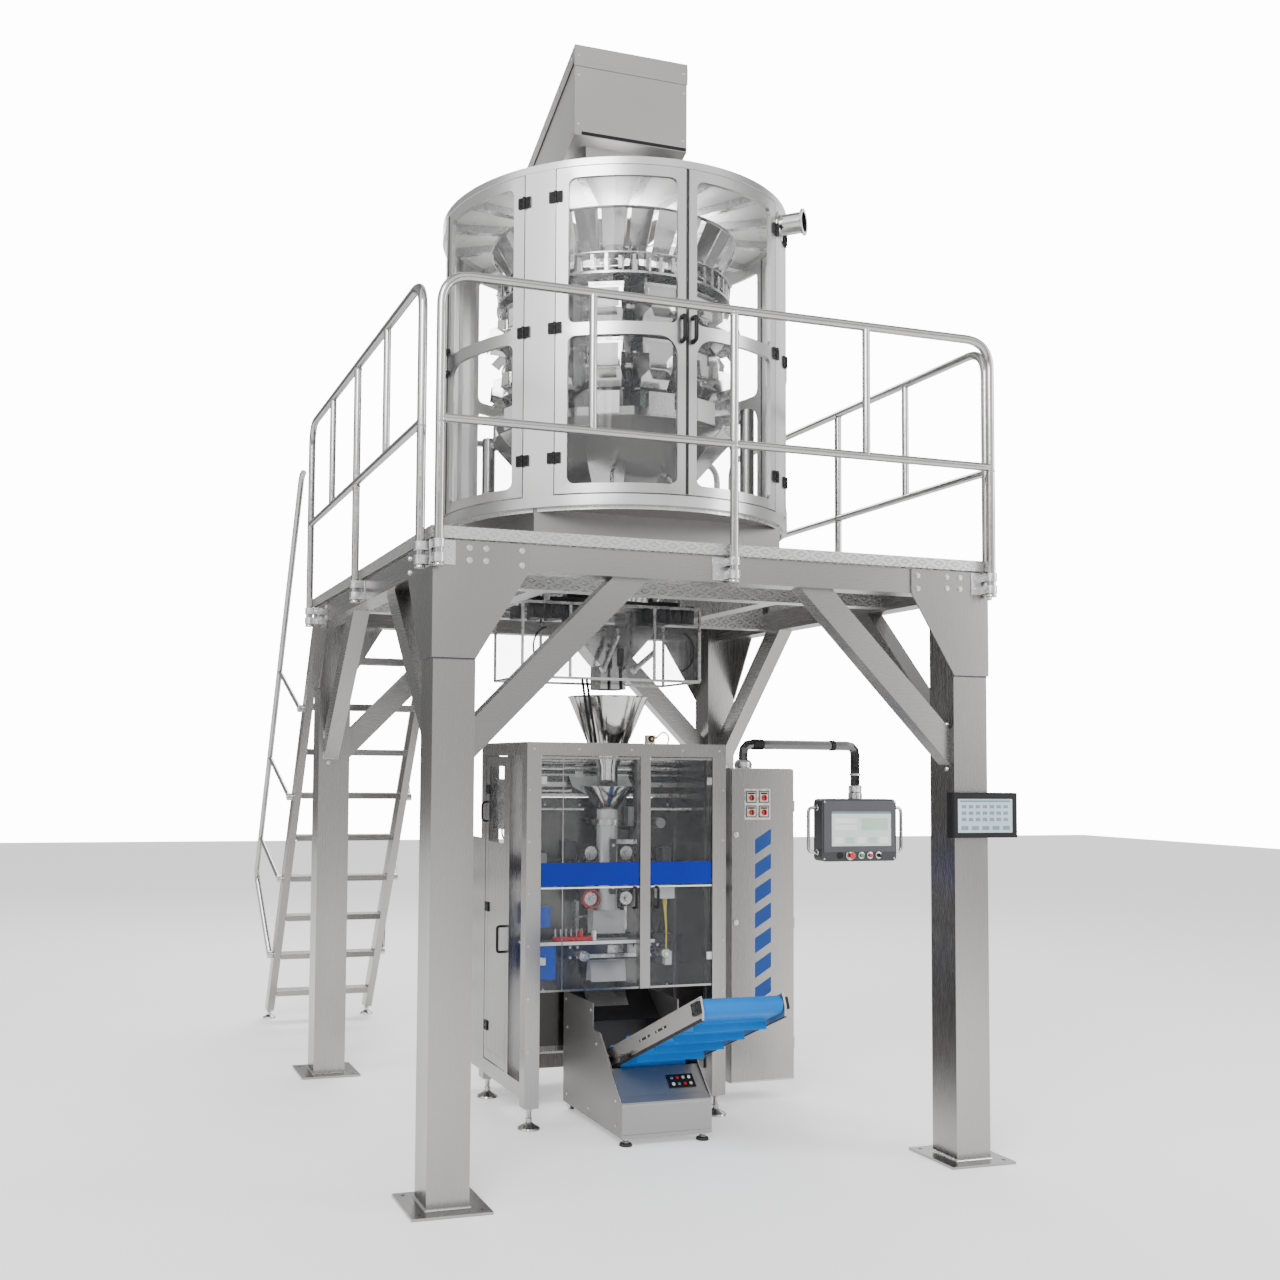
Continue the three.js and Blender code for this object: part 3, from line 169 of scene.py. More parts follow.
def noise(mat, stretch, detail=3.0):
    """A noise in the part's own metres, stretched by a scale along each axis."""
    tree = mat.node_tree
    coord = add_node(tree, "TexCoord")
    mapping = add_node(tree, "Mapping", {"Vector": coord.outputs["Object"], "Scale": stretch})
    fed = {"Vector": mapping.outputs["Vector"], "Scale": 1.0, "Detail": detail}
    return add_node(tree, "TexNoise", fed).outputs["Fac"]


def feed(mat, output, socket):
    mat.node_tree.links.new(output, mat.node_tree.nodes["Principled BSDF"].inputs[socket])


def vary(mat, source, socket, low, high, near=0.3, far=0.7):
    """Feeds one shader input with a texture, spread between two values."""
    limits = {"Value": source, "From Min": near, "From Max": far, "To Min": low, "To Max": high}
    feed(mat, add_node(mat.node_tree, "MapRange", limits).outputs["Result"], socket)


def tint(mat, source, dark, light, near=0.3, far=0.7):
    """Feeds the colour with a texture, from a darker shade to a lighter one."""
    ramp = add_node(mat.node_tree, "ValToRGB", {"Fac": source})
    for index, position, colour in ((0, near, dark), (1, far, light)):
        ramp.color_ramp.elements[index].position = position
        ramp.color_ramp.elements[index].color = (*colour, 1)
    feed(mat, ramp.outputs["Color"], "Base Color")


def bump(mat, source, depth, strength=0.5):
    made = add_node(mat.node_tree, "Bump", {"Height": source, "Strength": strength, "Distance": depth})
    feed(mat, made.outputs["Normal"], "Normal")


def shade(colour, factor):
    return tuple(min(channel * factor, 1.0) for channel in colour)


def brushed(name, colour, rough, grain, depth=0.00012):
    """Steel with a grain along one axis: fine streaks in gloss and height, soft clouds in colour."""
    mat = shader(name, colour, rough, 1.0)
    streaks = noise(mat, tuple(2.0 if axis == grain else 420.0 for axis in "xyz"), 2.0)
    vary(mat, streaks, "Roughness", rough - 0.004, rough + 0.006)
    bump(mat, streaks, depth, 0.03)
    broad = tuple(0.5 if axis == grain else 1.3 for axis in "xyz")
    tint(mat, noise(mat, broad, 1.5), shade(colour, 0.86), shade(colour, 1.12), 0.34, 0.68)
    return mat


def bright(name, colour, rough):
    """Drawn or polished steel: nearly a mirror, with faint handling marks."""
    mat = shader(name, colour, rough, 1.0)
    marks = noise(mat, (38.0, 38.0, 38.0), 5.0)
    vary(mat, marks, "Roughness", rough * 0.7, rough * 1.6)
    tint(mat, noise(mat, (6.0, 6.0, 6.0), 3.0), shade(colour, 0.93), shade(colour, 1.05))
    return mat


def moulded(name, colour, rough, speck=700.0, depth=0.00015, metal=0.0, gloss=0.5):
    """Plastic, rubber or paint: a fine skin texture and slightly uneven gloss."""
    mat = shader(name, colour, rough, metal)
    mat.node_tree.nodes["Principled BSDF"].inputs["Specular IOR Level"].default_value = gloss
    skin = noise(mat, (speck,) * 3, 2.0)
    bump(mat, skin, depth, 0.3)
    vary(mat, noise(mat, (9.0,) * 3, 3.0), "Roughness", max(rough - 0.06, 0.03), rough + 0.08)
    tint(mat, noise(mat, (3.0,) * 3, 3.0), shade(colour, 0.92), shade(colour, 1.08))
    return mat


def clear(name, colour, alpha, rough=0.04):
    mat = shader(name, colour, rough, 0.0, Alpha=alpha)
    mat.node_tree.nodes["Principled BSDF"].inputs["Specular IOR Level"].default_value = 0.8
    vary(mat, noise(mat, (5.0, 5.0, 2.0), 3.0), "Roughness", rough * 0.7, rough * 1.8)
    return mat


def chequer(name, colour):
    """Tread plate: short raised bars that turn at right angles from one cell to the next."""
    mat = shader(name, colour, 0.36, 1.0)
    tree = mat.node_tree
    coord, shape = add_node(tree, "TexCoord"), add_node(tree, "NewGeometry")
    spot = add_node(tree, "SeparateXYZ", {0: coord.outputs["Object"]}).outputs
    facing = add_node(tree, "SeparateXYZ", {0: shape.outputs["True Normal"]}).outputs
    # On an upright face the height takes the place of the axis that the face looks along.
    flat = {axis: maths(tree, "MULTIPLY_ADD", maths(tree, "ABSOLUTE", facing[axis]), spot["Z"], spot[axis])
            for axis in "XY"}
    plane = add_node(tree, "CombineXYZ", flat)
    sizes = {"Scale": 1.0, "Brick Width": 1.0, "Row Height": 1.0, "Mortar Size": 0.17, "Mortar Smooth": 0.4}
    bars = []
    for turn in (45, -45):
        mapping = add_node(tree, "Mapping", {"Vector": plane.outputs[0], "Scale": (30, 60, 40),
                                             "Rotation": (0, 0, math.radians(turn))})
        brick = add_node(tree, "TexBrick", {"Vector": mapping.outputs["Vector"], **sizes}, offset=0.5)
        bars.append(brick.outputs["Fac"])
    not_below = maths(tree, "GREATER_THAN", facing["Z"], -0.5)
    raised = maths(tree, "MULTIPLY", maths(tree, "MULTIPLY", *bars), not_below)
    bump(mat, raised, 0.0016, 0.9)
    vary(mat, raised, "Roughness", 0.42, 0.22, 0.0, 1.0)
    return mat


STEEL = (0.335, 0.327, 0.322)
SHEET = (0.365, 0.355, 0.35)
PALE = (0.60, 0.595, 0.59)
MAT = {
    "steel_z": brushed("brushed steel upright", STEEL, 0.27, "z"),
    "steel_x": brushed("brushed steel across", STEEL, 0.27, "x"),
    "steel_y": brushed("brushed steel lengthways", STEEL, 0.27, "y"),
    "sheet_z": brushed("satin sheet upright", SHEET, 0.36, "z"),
    "sheet_x": brushed("satin sheet across", SHEET, 0.36, "x"),
    "pale_z": brushed("pale sheet upright", PALE, 0.3, "z"),
    "pale_x": brushed("pale sheet round", PALE, 0.3, "x"),
    "dull_x": brushed("dull sheet across", STEEL, 0.48, "x"),
    "dull_y": brushed("dull sheet lengthways", shade(STEEL, 1.25), 0.42, "y"),
    "tube": bright("polished tube", (0.44, 0.43, 0.425), 0.15),
    "mirror": bright("polished sheet", (0.54, 0.535, 0.53), 0.12),
    # A darkened copy of the polished tube: painted shade, the dark surroundings that the swivel arm mirrors
    # put into its colour.
    "arm": bright("dark polished tube", (0.13, 0.13, 0.132), 0.16),
    "satin": bright("turned steel", (0.62, 0.62, 0.62), 0.26),
    "tread": chequer("chequer plate", (0.55, 0.545, 0.54)),
    "cast": moulded("cast grey paint", (0.33, 0.34, 0.35), 0.42),
    "white": moulded("white enamel", (0.78, 0.78, 0.77), 0.32),
    "black": moulded("black moulded plastic", (0.010, 0.010, 0.011), 0.42, gloss=0.2),
    "rubber": moulded("black rubber", (0.012, 0.012, 0.013), 0.62, 240.0, 0.0004),
    "dark": moulded("dark machine paint", (0.05, 0.052, 0.058), 0.38),
    "well": brushed("shaded back sheet", (0.13, 0.128, 0.126), 0.24, "z"),
    "green_grey": moulded("dark green grey casting", (0.045, 0.06, 0.055), 0.34),
    "bezel": moulded("dark grey bezel", (0.035, 0.037, 0.04), 0.40, gloss=0.3),
    "jaw": moulded("deep blue anodising", (0.004, 0.010, 0.055), 0.32, metal=0.2, gloss=0.3),
    "belt": moulded("blue belt", (0.0, 0.135, 0.45), 0.42, 180.0, 0.0003, gloss=0.12),
    "band": moulded("blue film band", (0.0, 0.012, 0.27), 0.40, gloss=0.2),
    "stripe": moulded("blue enamel bars", (0.004, 0.04, 0.20), 0.40, gloss=0.3),
    "sky": moulded("bright blue sheet", (0.0, 0.07, 0.50), 0.34, gloss=0.25),
    "red": moulded("red moulded plastic", (0.55, 0.012, 0.012), 0.28),
    "green": moulded("green moulded plastic", (0.02, 0.33, 0.07), 0.28),
    "yellow": moulded("yellow and green sleeve", (0.62, 0.55, 0.04), 0.35),
    "cream": moulded("cream sensor body", (0.62, 0.56, 0.42), 0.34),
    "brass": bright("turned brass", (0.60, 0.46, 0.20), 0.25),
    "film": moulded("white packing film", (0.80, 0.82, 0.83), 0.20),
    "screen": moulded("lit screen", (0.62, 0.70, 0.66), 0.16),
    "screen_dark": moulded("dim screen", (0.42, 0.53, 0.58), 0.14),
    "screen_green": moulded("pale green screen block", (0.42, 0.60, 0.48), 0.18),
    "mark": moulded("screen marks", (0.16, 0.24, 0.28), 0.2),
    "pane": clear("clear door pane", (0.16, 0.165, 0.17), 0.09),
    "guard": clear("clear guard panel", (0.12, 0.125, 0.13), 0.13),
    "bag": clear("clear bag film", (0.92, 0.94, 0.95), 0.34, 0.12),
}


# ------------------------------------------------------------------ mesh building
def polar(radius, degrees, z=0.0):
    return Vector((radius * math.cos(math.radians(degrees)), radius * math.sin(math.radians(degrees)), z))


def both(middle, half):
    """The span that reaches equally far to both sides of a middle."""
    return middle - half, middle + half


def ring_sides(n):
    """The faces between two matching loops of n points."""
    return [(i, (i + 1) % n, n + (i + 1) % n, n + i) for i in range(n)]


def solid_faces(n):
    return ring_sides(n) + [tuple(range(n))[::-1], tuple(range(n, 2 * n))]


def frame_faces(n):
    """The faces of a flat frame: its edges on one side are two loops of n points, then two more behind."""
    faces = []
    for i in range(n):
        k = (i + 1) % n
        faces += [(i, k, n + k, n + i), (2 * n + i, 3 * n + i, 3 * n + k, 2 * n + k),
                  (i, 2 * n + i, 2 * n + k, k), (n + i, n + k, 3 * n + k, 3 * n + i)]
    return faces


def rounded(points, bend, steps=7):
    """The centre line of a bent tube: straight runs with a round bend at each inner corner."""
    points = [Vector(p) for p in points]
    path = [points[0]]
    for before, corner, after in zip(points, points[1:], points[2:]):
        a = corner + (before - corner).normalized() * bend
        b = corner + (after - corner).normalized() * bend
        for i in range(steps + 1):
            t = i / steps
            path.append(a * (1 - t) ** 2 + corner * 2 * t * (1 - t) + b * t ** 2)
    return path + [points[-1]]


BOX_FACES = [(0, 1, 3, 2), (4, 6, 7, 5), (0, 4, 5, 1), (2, 3, 7, 6), (0, 2, 6, 4), (1, 5, 7, 3)]


class Piece:
    """Gathers solids in millimetres, then makes them one object that rides on a body."""

    def __init__(self, name, slot, body=ROOT, replaces=(), bevel=0.0, sharp=35):
        self.name, self.slot, self.body, self.replaces = name, slot, body, replaces
        self.bevel, self.sharp = bevel, sharp
        self.verts, self.faces, self.which, self.mats = [], [], [], []
        self.turn = Matrix.Identity(4)

    def use(self, key):
        if MAT[key] not in self.mats:
            self.mats.append(MAT[key])
        self.current = self.mats.index(MAT[key])
        return self

    def about(self, degrees, at=(0, 0, 0)):
        """Turns and shifts what is added next, about the vertical."""
        self.turn = Matrix.Translation(at) @ Matrix.Rotation(math.radians(degrees), 4, "Z")
        return self

    def add(self, points, faces):
        base = len(self.verts)
        self.verts += [self.turn @ Vector(p) for p in points]
        self.faces += [[base + i for i in face] for face in faces]
        self.which += [self.current] * len(faces)
        return self

    def box(self, x, y, z, at=lambda *point: point):
        """A block between three spans; at lays its corners out in another frame."""
        return self.add([at(a, b, c) for a in x for b in y for c in z], BOX_FACES)

    def prism(self, axis, outline, span):
        """An outline across two axes, drawn out along the third."""
        slots = {"z": (0, 1, 2), "y": (0, 2, 1), "x": (2, 0, 1)}[axis]
        points = [[(u, v, w)[slot] for slot in slots] for w in span for u, v in outline]
        return self.add(points, solid_faces(len(outline)))

    def spin(self, profile, base=(0, 0, 0), out=UP, sides=64, closed=False):
        """Turns a profile of (radius, height) points about a line."""
        out = Vector(out).normalized()
        across = out.orthogonal().normalized()
        other = out.cross(across)
        rings, points = [], []
        for radius, height in profile:
            centre = Vector(base) + out * height
            count = 1 if radius < 1e-6 else sides
            rings.append([len(points) + k for k in range(count)])
            for k in range(count):
                angle = 2 * math.pi * (k + 0.5) / sides
                points.append(centre + (across * math.cos(angle) + other * math.sin(angle)) * radius)
        pairs = list(zip(rings, rings[1:])) + ([(rings[-1], rings[0])] if closed else [])
        faces = []
        for low, high in pairs:
            for k in range(sides):
                n = (k + 1) % sides
                ring = [low[k % len(low)], low[n % len(low)], high[n % len(high)], high[k % len(high)]]
                face = [v for i, v in enumerate(ring) if v not in ring[:i]]
                if len(face) > 2:
                    faces.append(tuple(face))
        if not closed:
            faces += [tuple(ring) for ring in (rings[0][::-1], rings[-1]) if len(ring) > 2]
        return self.add(points, faces)

    def hoop(self, radii, heights, base=(0, 0, 0), out=UP, sides=112):
        """A ring of rectangular section."""
        (a, b), (low, high) = radii, heights
        return self.spin([(a, low), (b, low), (b, high), (a, high)], base, out, sides, closed=True)

    def rod(self, start, end, radius, sides=20, edge=0.0):
        start, end = Vector(start), Vector(end)
        length = (end - start).length
        edge = min(edge, radius * 0.5)
        profile = [(radius - edge, 0), (radius, edge), (radius, length - edge), (radius - edge, length)]
        return self.spin(profile if edge else [(radius, 0), (radius, length)], start, end - start, sides)

    def tube(self, path, radius, sides=16):
        path = [Vector(p) for p in path]
        points, faces = [], []
        side = None
        for i, centre in enumerate(path):
            along = (path[min(i + 1, len(path) - 1)] - path[max(i - 1, 0)]).normalized()
            side = along.orthogonal() if side is None else side - along * side.dot(along)
            side.normalize()
            other = along.cross(side)
            for k in range(sides):
                angle = 2 * math.pi * k / sides
                points.append(centre + (side * math.cos(angle) + other * math.sin(angle)) * radius)
        for start in range(0, (len(path) - 1) * sides, sides):
            faces += [tuple(start + v for v in face) for face in ring_sides(sides)]
        last = (len(path) - 1) * sides
        faces += [tuple(range(sides))[::-1], tuple(range(last, last + sides))]
        return self.add(points, faces)

    def wall(self, radii, degrees, z, steps=16):
        """An upright piece of drum wall between two radii and two angles."""
        ring = [degrees[0] + (degrees[1] - degrees[0]) * i / steps for i in range(steps + 1)]
        outline = [polar(radii[1], a).xy for a in ring] + [polar(radii[0], a).xy for a in reversed(ring)]
        points = [(p.x, p.y, height) for height in z for p in outline]
        n, top = len(outline), 2 * steps + 1
        faces = ring_sides(n)
        for i in range(steps):
            faces.append((i, i + 1, top - i - 1, top - i))
            faces.append((n + i, n + i + 1, n + top - i - 1, n + top - i))
        return self.add(points, faces)

    def bolt(self, at, out, radius=8.0):
        """A washer with a hexagon head on a flat face."""
        at, out = Vector(at), Vector(out).normalized()
        washer = ((1.35, 0), (1.35, 0.22), (1, 0.22))
        head = ((0.98, 0.2), (1, 0.72), (0.85, 0.85))
        for profile, sides in ((washer, 20), (head, 6)):
            self.spin([(radius * u, radius * v) for u, v in profile], at, out, sides)
        return self

    def done(self):
        mesh = bpy.data.meshes.new(self.name)
        mesh.from_pydata([CENTRE + v / 1000 for v in self.verts], [], self.faces)
        for mat in self.mats:
            mesh.materials.append(mat)
        mesh.polygons.foreach_set("material_index", self.which)
        work = bmesh.new()
        work.from_mesh(mesh)
        bmesh.ops.recalc_face_normals(work, faces=work.faces)
        work.to_mesh(mesh)
        work.free()
        mesh.shade_smooth()
        mesh.set_sharp_from_angle(angle=math.radians(self.sharp))
        piece = bpy.data.objects.new(self.name, mesh)
        bpy.context.scene.collection.objects.link(piece)
        if self.bevel:
            soften(piece, self.bevel)
        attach(piece, self.body)
        if self.replaces:
            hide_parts(*self.replaces)
        return piece


def handle(piece, foot, tip, heights, bend, steps, radius, sides=12):
    """A bent bar handle, upright between two heights, whose legs run from foot to tip."""
    low, high = heights
    legs = [(*foot, low), (*tip, low), (*tip, high), (*foot, high)]
    piece.tube(rounded(legs, bend, steps), radius, sides)


def surround(piece, outer, inner, y):
    """Four flat bars round a screen, each size given as its span across and its span in height."""
    (outer_x, outer_z), (inner_x, inner_z) = outer, inner
    for x, z in (((outer_x[0], inner_x[0]), outer_z), ((inner_x[1], outer_x[1]), outer_z),
                 (inner_x, (outer_z[0], inner_z[0])), (inner_x, (inner_z[1], outer_z[1]))):
        piece.box(x, y, z)


def nut(piece, x, y, heights, radius=20):
    piece.spin([(radius, z) for z in heights], (x, y, 0), UP, 6)


def soften(piece, width):
    bevel = piece.modifiers.new("edge", "BEVEL")
    bevel.width = width / 1000
    bevel.segments = 2
    bevel.limit_method = "ANGLE"
    bevel.angle_limit = math.radians(38)
    bevel.harden_normals = False


def dress(node, key, width):
    """Gives a CAD node its finish and rounds its edges a little."""
    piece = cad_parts[node]
    piece.data.materials.clear()
    piece.data.materials.append(MAT[key])
    if width:
        soften(piece, width)


add_camera()
add_world()
for light in LIGHTS:
    add_light(*light)


# ------------------------------------------------------------------ platform
FRAME_HALF = 1405
LEG = 190
RAIL_LINE = 1455
RAIL_TOP = 3985
RAIL_MID = 3360
RAIL_FOOT = 2722
LONG_RAIL = 2300
POST, MID_RAIL, SHORT_POST = 20, 19.5, 18.5
STRAP_OUTER, STRAP_INNER = 27, 21.5
GUSSET_FACE = FRAME_HALF + 8
# The heights of the dark strip painted as the shadow under each gusset's lower edge.
GUSSET_SHADOW_LINE = (2328, 2334.6)
CORNERS = ("front_left", "front_right", "back_right", "back_left")
SIDES = ("front", "right", "back", "left")

for corner in CORNERS:
    dress("leg_" + corner, "steel_z", 2.5)
for side_name in SIDES:
    dress("portal_" + side_name, "steel_x" if side_name in ("front", "back") else "steel_y", 2.0)
dress("deck_plate", "tread", 0)
dress("weigher_plinth", "sheet_x", 2.0)


def railing(name, x0, x1, turn):
    """A bent tube hoop with its mid rail, posts, and the straps that clamp it to the deck's edge."""
    y = -RAIL_LINE
    mid = (x0 + x1) / 2
    piece = Piece(name + "_tubes", "polished_steel", replaces=(name,)).use("tube").about(turn)
    hoop = [(x0, y, RAIL_FOOT), (x0, y, RAIL_TOP), (x1, y, RAIL_TOP), (x1, y, RAIL_FOOT)]
    piece.tube(rounded(hoop, 140, 12), 21, 24)
    piece.rod((x0, y, RAIL_MID), (x1, y, RAIL_MID), MID_RAIL, 24)
    middle = [mid] if x1 - x0 > LONG_RAIL else []
    for x in middle:
        piece.rod((x, y, RAIL_FOOT), (x, y, RAIL_TOP), POST, 24, 1.5)
    shorts = [(x0 + mid) / 2, (mid + x1) / 2] if middle else [mid]
    for x in shorts:
        piece.rod((x, y, RAIL_MID), (x, y, RAIL_TOP), SHORT_POST, 20)
    for x in [x0, *middle, x1]:
        piece.spin([(22.5, 0), (24.5, 2), (24.5, 8), (22.5, 12)], (x, y, RAIL_FOOT - 2), UP, 24)
        for z, radius in ((RAIL_MID, 24), (RAIL_TOP, 23)):
            if z == RAIL_MID or x in middle:
                piece.spin([(20, -radius - 3), (23, -radius + 2), (21, -radius + 8)], (x, y, z), UP, 24)
    piece.done()
    straps = Piece(name + "_straps", "frame_steel", bevel=1.2).use("satin").about(turn)
    for x in [x0, *middle, x1]:
        near_leg = abs(x) > FRAME_HALF - LEG - 240
        face = -(GUSSET_FACE if near_leg else FRAME_HALF)
        for low, high in ((2738, 2776), (2798, 2836)):
            turns = [math.pi * i / 12 for i in range(13)]
            outer, inner = ([(x + radius * math.cos(a), y - radius * math.sin(a)) for a in turns]
                            for radius in (STRAP_OUTER, STRAP_INNER))
            feet = [(x + across, face + 2)
                    for across in (-STRAP_OUTER, -STRAP_INNER, STRAP_INNER, STRAP_OUTER)]
            straps.prism("z", outer + feet[:2] + inner[::-1] + feet[2:], (low, high))
        to_middle = 1 if x < 0 else -1
        reach = sorted((x - to_middle * 30, x + to_middle * 86))
        straps.box(reach, (face - 4.5, face - 0.4), (2734, 2840))
        for z in (2760, 2814):
            straps.bolt((x + to_middle * 60, face - 4.5, z), FRONT, 8)
    straps.done()


railing("railing_front", -1400, 1400, 0)
railing("railing_right", -1350, 1350, 90)
railing("railing_back", -1400, 480, 180)
railing("railing_left", -1350, 1350, 270)


def leg_details(name, turn):
    """Gusset bolts, brace bolts and their plates, the foot's weld bead, and a dark strip painted as the
    shadow under each gusset.
    """
    piece = Piece(name + "_fixings", "frame_steel", bevel=0.0).use("satin").about(turn)
    face = -GUSSET_FACE
    for x, zs in ((-1250, (2758, 2812)), (-1175, (2758, 2812)), (-1010, (2748, 2812))):
        for z in zs:
            piece.bolt((x, face, z), FRONT, 10)
            piece.bolt((face, x, z), (-1, 0, 0), 10)
    inner = -FRAME_HALF + LEG
    for z in (1925, 2050):
        piece.box((inner + 0.5, inner + 5.7), (-1381, -1309), both(z, 22))
    for z in (1880, 2098):
        piece.bolt((inner, -1345, z), (1, 0, 0), 9)
        piece.bolt((-1345, inner, z), (0, 1, 0), 9)
    centre = -FRAME_HALF + LEG / 2
    out = LEG / 2
    # A thin dark strip along each gusset's lower edge: painted shadow, the shade the gusset's edge throws
    # on the leg.
    piece.use("dark")
    width, proud = (1 - FRAME_HALF, LEG - 1 - FRAME_HALF), (-FRAME_HALF - 2.5, -FRAME_HALF - 0.3)
    piece.box(width, proud, GUSSET_SHADOW_LINE)
    piece.box(proud, width, GUSSET_SHADOW_LINE)
    piece.use("satin")
    bead = [(out - 1, 12), (out + 8, 12), (out + 5, 17), (out - 1, 20)]
    for quarter in range(4):
        corner = (math.cos(math.radians(turn)), math.sin(math.radians(turn)))
        spot = (centre * corner[0] - centre * corner[1], centre * corner[1] + centre * corner[0], 0)
        piece.about(turn + 90 * quarter, spot)
        piece.prism("x", bead, (-out - 3, out + 3))
    piece.done()


for index, corner in enumerate(CORNERS):
    leg_details("leg_" + corner, 90 * index)


# ------------------------------------------------------------------ ladder
LADDER_X = (-1405, -625)
LADDER_TOP, LADDER_TOP_Y = 2790, 1430
SLOPE = LADDER_TOP / 1770
FIRST_TREAD, TREAD_RISE = 200, 292
dress("ladder", "steel_z", 2.0)


def stringer_y(z):
    return LADDER_TOP_Y + (LADDER_TOP - z) / SLOPE


def rail_height(y):
    return LADDER_TOP - (y - LADDER_TOP_Y) * SLOPE + 930


def ladder_details():
    piece = Piece("ladder_treads", "chequer_plate", bevel=1.0).use("tread")
    across = (LADDER_X[0] + 51, LADDER_X[1] - 51)
    treads = [(stringer_y(z), z) for z in range(FIRST_TREAD, LADDER_TOP, TREAD_RISE)]
    for y, z in treads:
        piece.box(across, both(y, 66), (z + 15.3, z + 19))
    piece.use("steel_x")
    for y, z in treads:
        piece.box(across, (y + 60.3, y + 66), (z - 22, z + 15.3))
        piece.box(across, (y - 66, y - 60.3), (z - 22, z + 15.3))
    piece.use("satin")
    for x in (LADDER_X[0] + 25, LADDER_X[1] - 25):
        y = stringer_y(60)
        piece.spin([(0, 0), (46, 0), (48, 3), (46, 9), (16, 20), (13, 34), (0, 34)], (x, y, 0.2), UP, 32)
        nut(piece, x, y, (34, 46), 19)
    piece.done()


def handrail(name, face, side):
    x = face + side * 95
    piece = Piece(name + "_tubes", "polished_steel", replaces=(name,)).use("tube")
    path = [(x, 1392, rail_height(1450)), (x, 1450, rail_height(1450)), (x, 3120, rail_height(3120)),
            (face + side * 24, stringer_y(500) + 8, 500)]
    piece.tube(rounded(path, 60, 8), 19, 20)
    for z in (2230, 1650, 1070, 500):
        y = stringer_y(z)
        if z != 500:
            piece.rod((face + side * 26, y, z), (x, y + 420, z + 267), 14, 16)
        piece.use("satin").rod((face + side * 1, y, z), (face + side * 40, y, z), 25, 24, 2)
        piece.bolt((face + side * 40, y, z), (side, 0, 0), 7)
        piece.use("tube")
    piece.done()


ladder_details()
handrail("ladder_handrail_left", LADDER_X[0], -1)
handrail("ladder_handrail_right", LADDER_X[1], 1)

# ------------------------------------------------------------------ weigher cabinet
DRUM = 964
RING_LOW, RING_HIGH = 3155, 3214
DOOR_LOW, DOOR_HIGH = 3217, 4860
ROOF_LOW, ROOF_HIGH = 4863, 4903
HINGES = (3398, 4052, 4718)
WINDOWS = ((3265, 4005), (4070, 4806))
DOOR_SPLIT = 4037.5
CORNER, HANDLE_CORNER = 38, 96
HANDLE = (3985, 4105)
DOOR_DEGREE = math.radians(1) * DRUM
LEAF_DEG = 39.7
HINGE_DEG = 39.85
SHELL = "cabinet_leaf_"
PILLARS = (45, 135, 225, 315)
PILLAR_HALF = 5


def window_ring(rect, hole, radii, columns=10, arc=6):
    """Pairs of points round a window and round its plate: (across, height) in millimetres.

    The corner radii run top right, bottom right, bottom left, top left."""
    (u0, u1, v0, v1), (a0, a1, b0, b1) = rect, hole
    corners = ((a1, b1, u1, v1, 90), (a1, b0, u1, v0, 0), (a0, b0, u0, v0, -90), (a0, b1, u0, v1, 180))
    pairs = []
    for index, ((a, b, u, v, start), radius) in enumerate(zip(corners, radii)):
        ca = a - radius if a == a1 else a + radius
        cb = b - radius if b == b1 else b + radius
        (p, q), (r, s) = ((ca, v), (u, cb)) if index in (0, 2) else ((u, cb), (ca, v))
        for i in range(arc + 1):
            angle = math.radians(start - 90 * i / arc)
            t = i / arc * 2
            if t <= 1:
                outer = (p + (u - p) * t, q + (v - q) * t)
            else:
                outer = (u + (r - u) * (t - 1), v + (s - v) * (t - 1))
            pairs.append(((ca + radius * math.cos(angle), cb + radius * math.sin(angle)), outer))
        if index in (1, 3):
            other = corners[(index + 1) % 4]
            near = a0 + radii[(index + 1) % 4] if index == 1 else a1 - radii[0]
            for i in range(1, columns):
                across = ca + (near - ca) * i / columns
                pairs.append(((across, other[1]), (across, other[3])))
    return pairs


def curved_plate(piece, pairs, radii, centre_deg):
    """Wraps a plate with one window round the drum."""
    points = []
    for radius in radii:
        for ring in (0, 1):
            for pair in pairs:
                u, v = pair[ring]
                points.append(polar(radius, centre_deg + math.degrees(u / DRUM), v))
    piece.add(points, frame_faces(len(pairs)))


def hinge_leaf(piece, line_deg, toward, height, knuckle):
    """One leaf of a black hinge, with its half of the knuckle on the hinge line."""
    a, b = sorted((line_deg + toward * 0.35, line_deg + toward * 2.1))
    piece.wall((DRUM + 0.4, DRUM + 9), (a, b), both(height, 27), 2)
    low, high = knuckle
    piece.rod(polar(DRUM + 10, line_deg, height + low), polar(DRUM + 10, line_deg, height + high), 8, 18, 1)
    for z in both(height, 14):
        piece.bolt(polar(DRUM + 9, line_deg + toward * 1.3, z), polar(1, line_deg + toward * 1.3), 4.5)


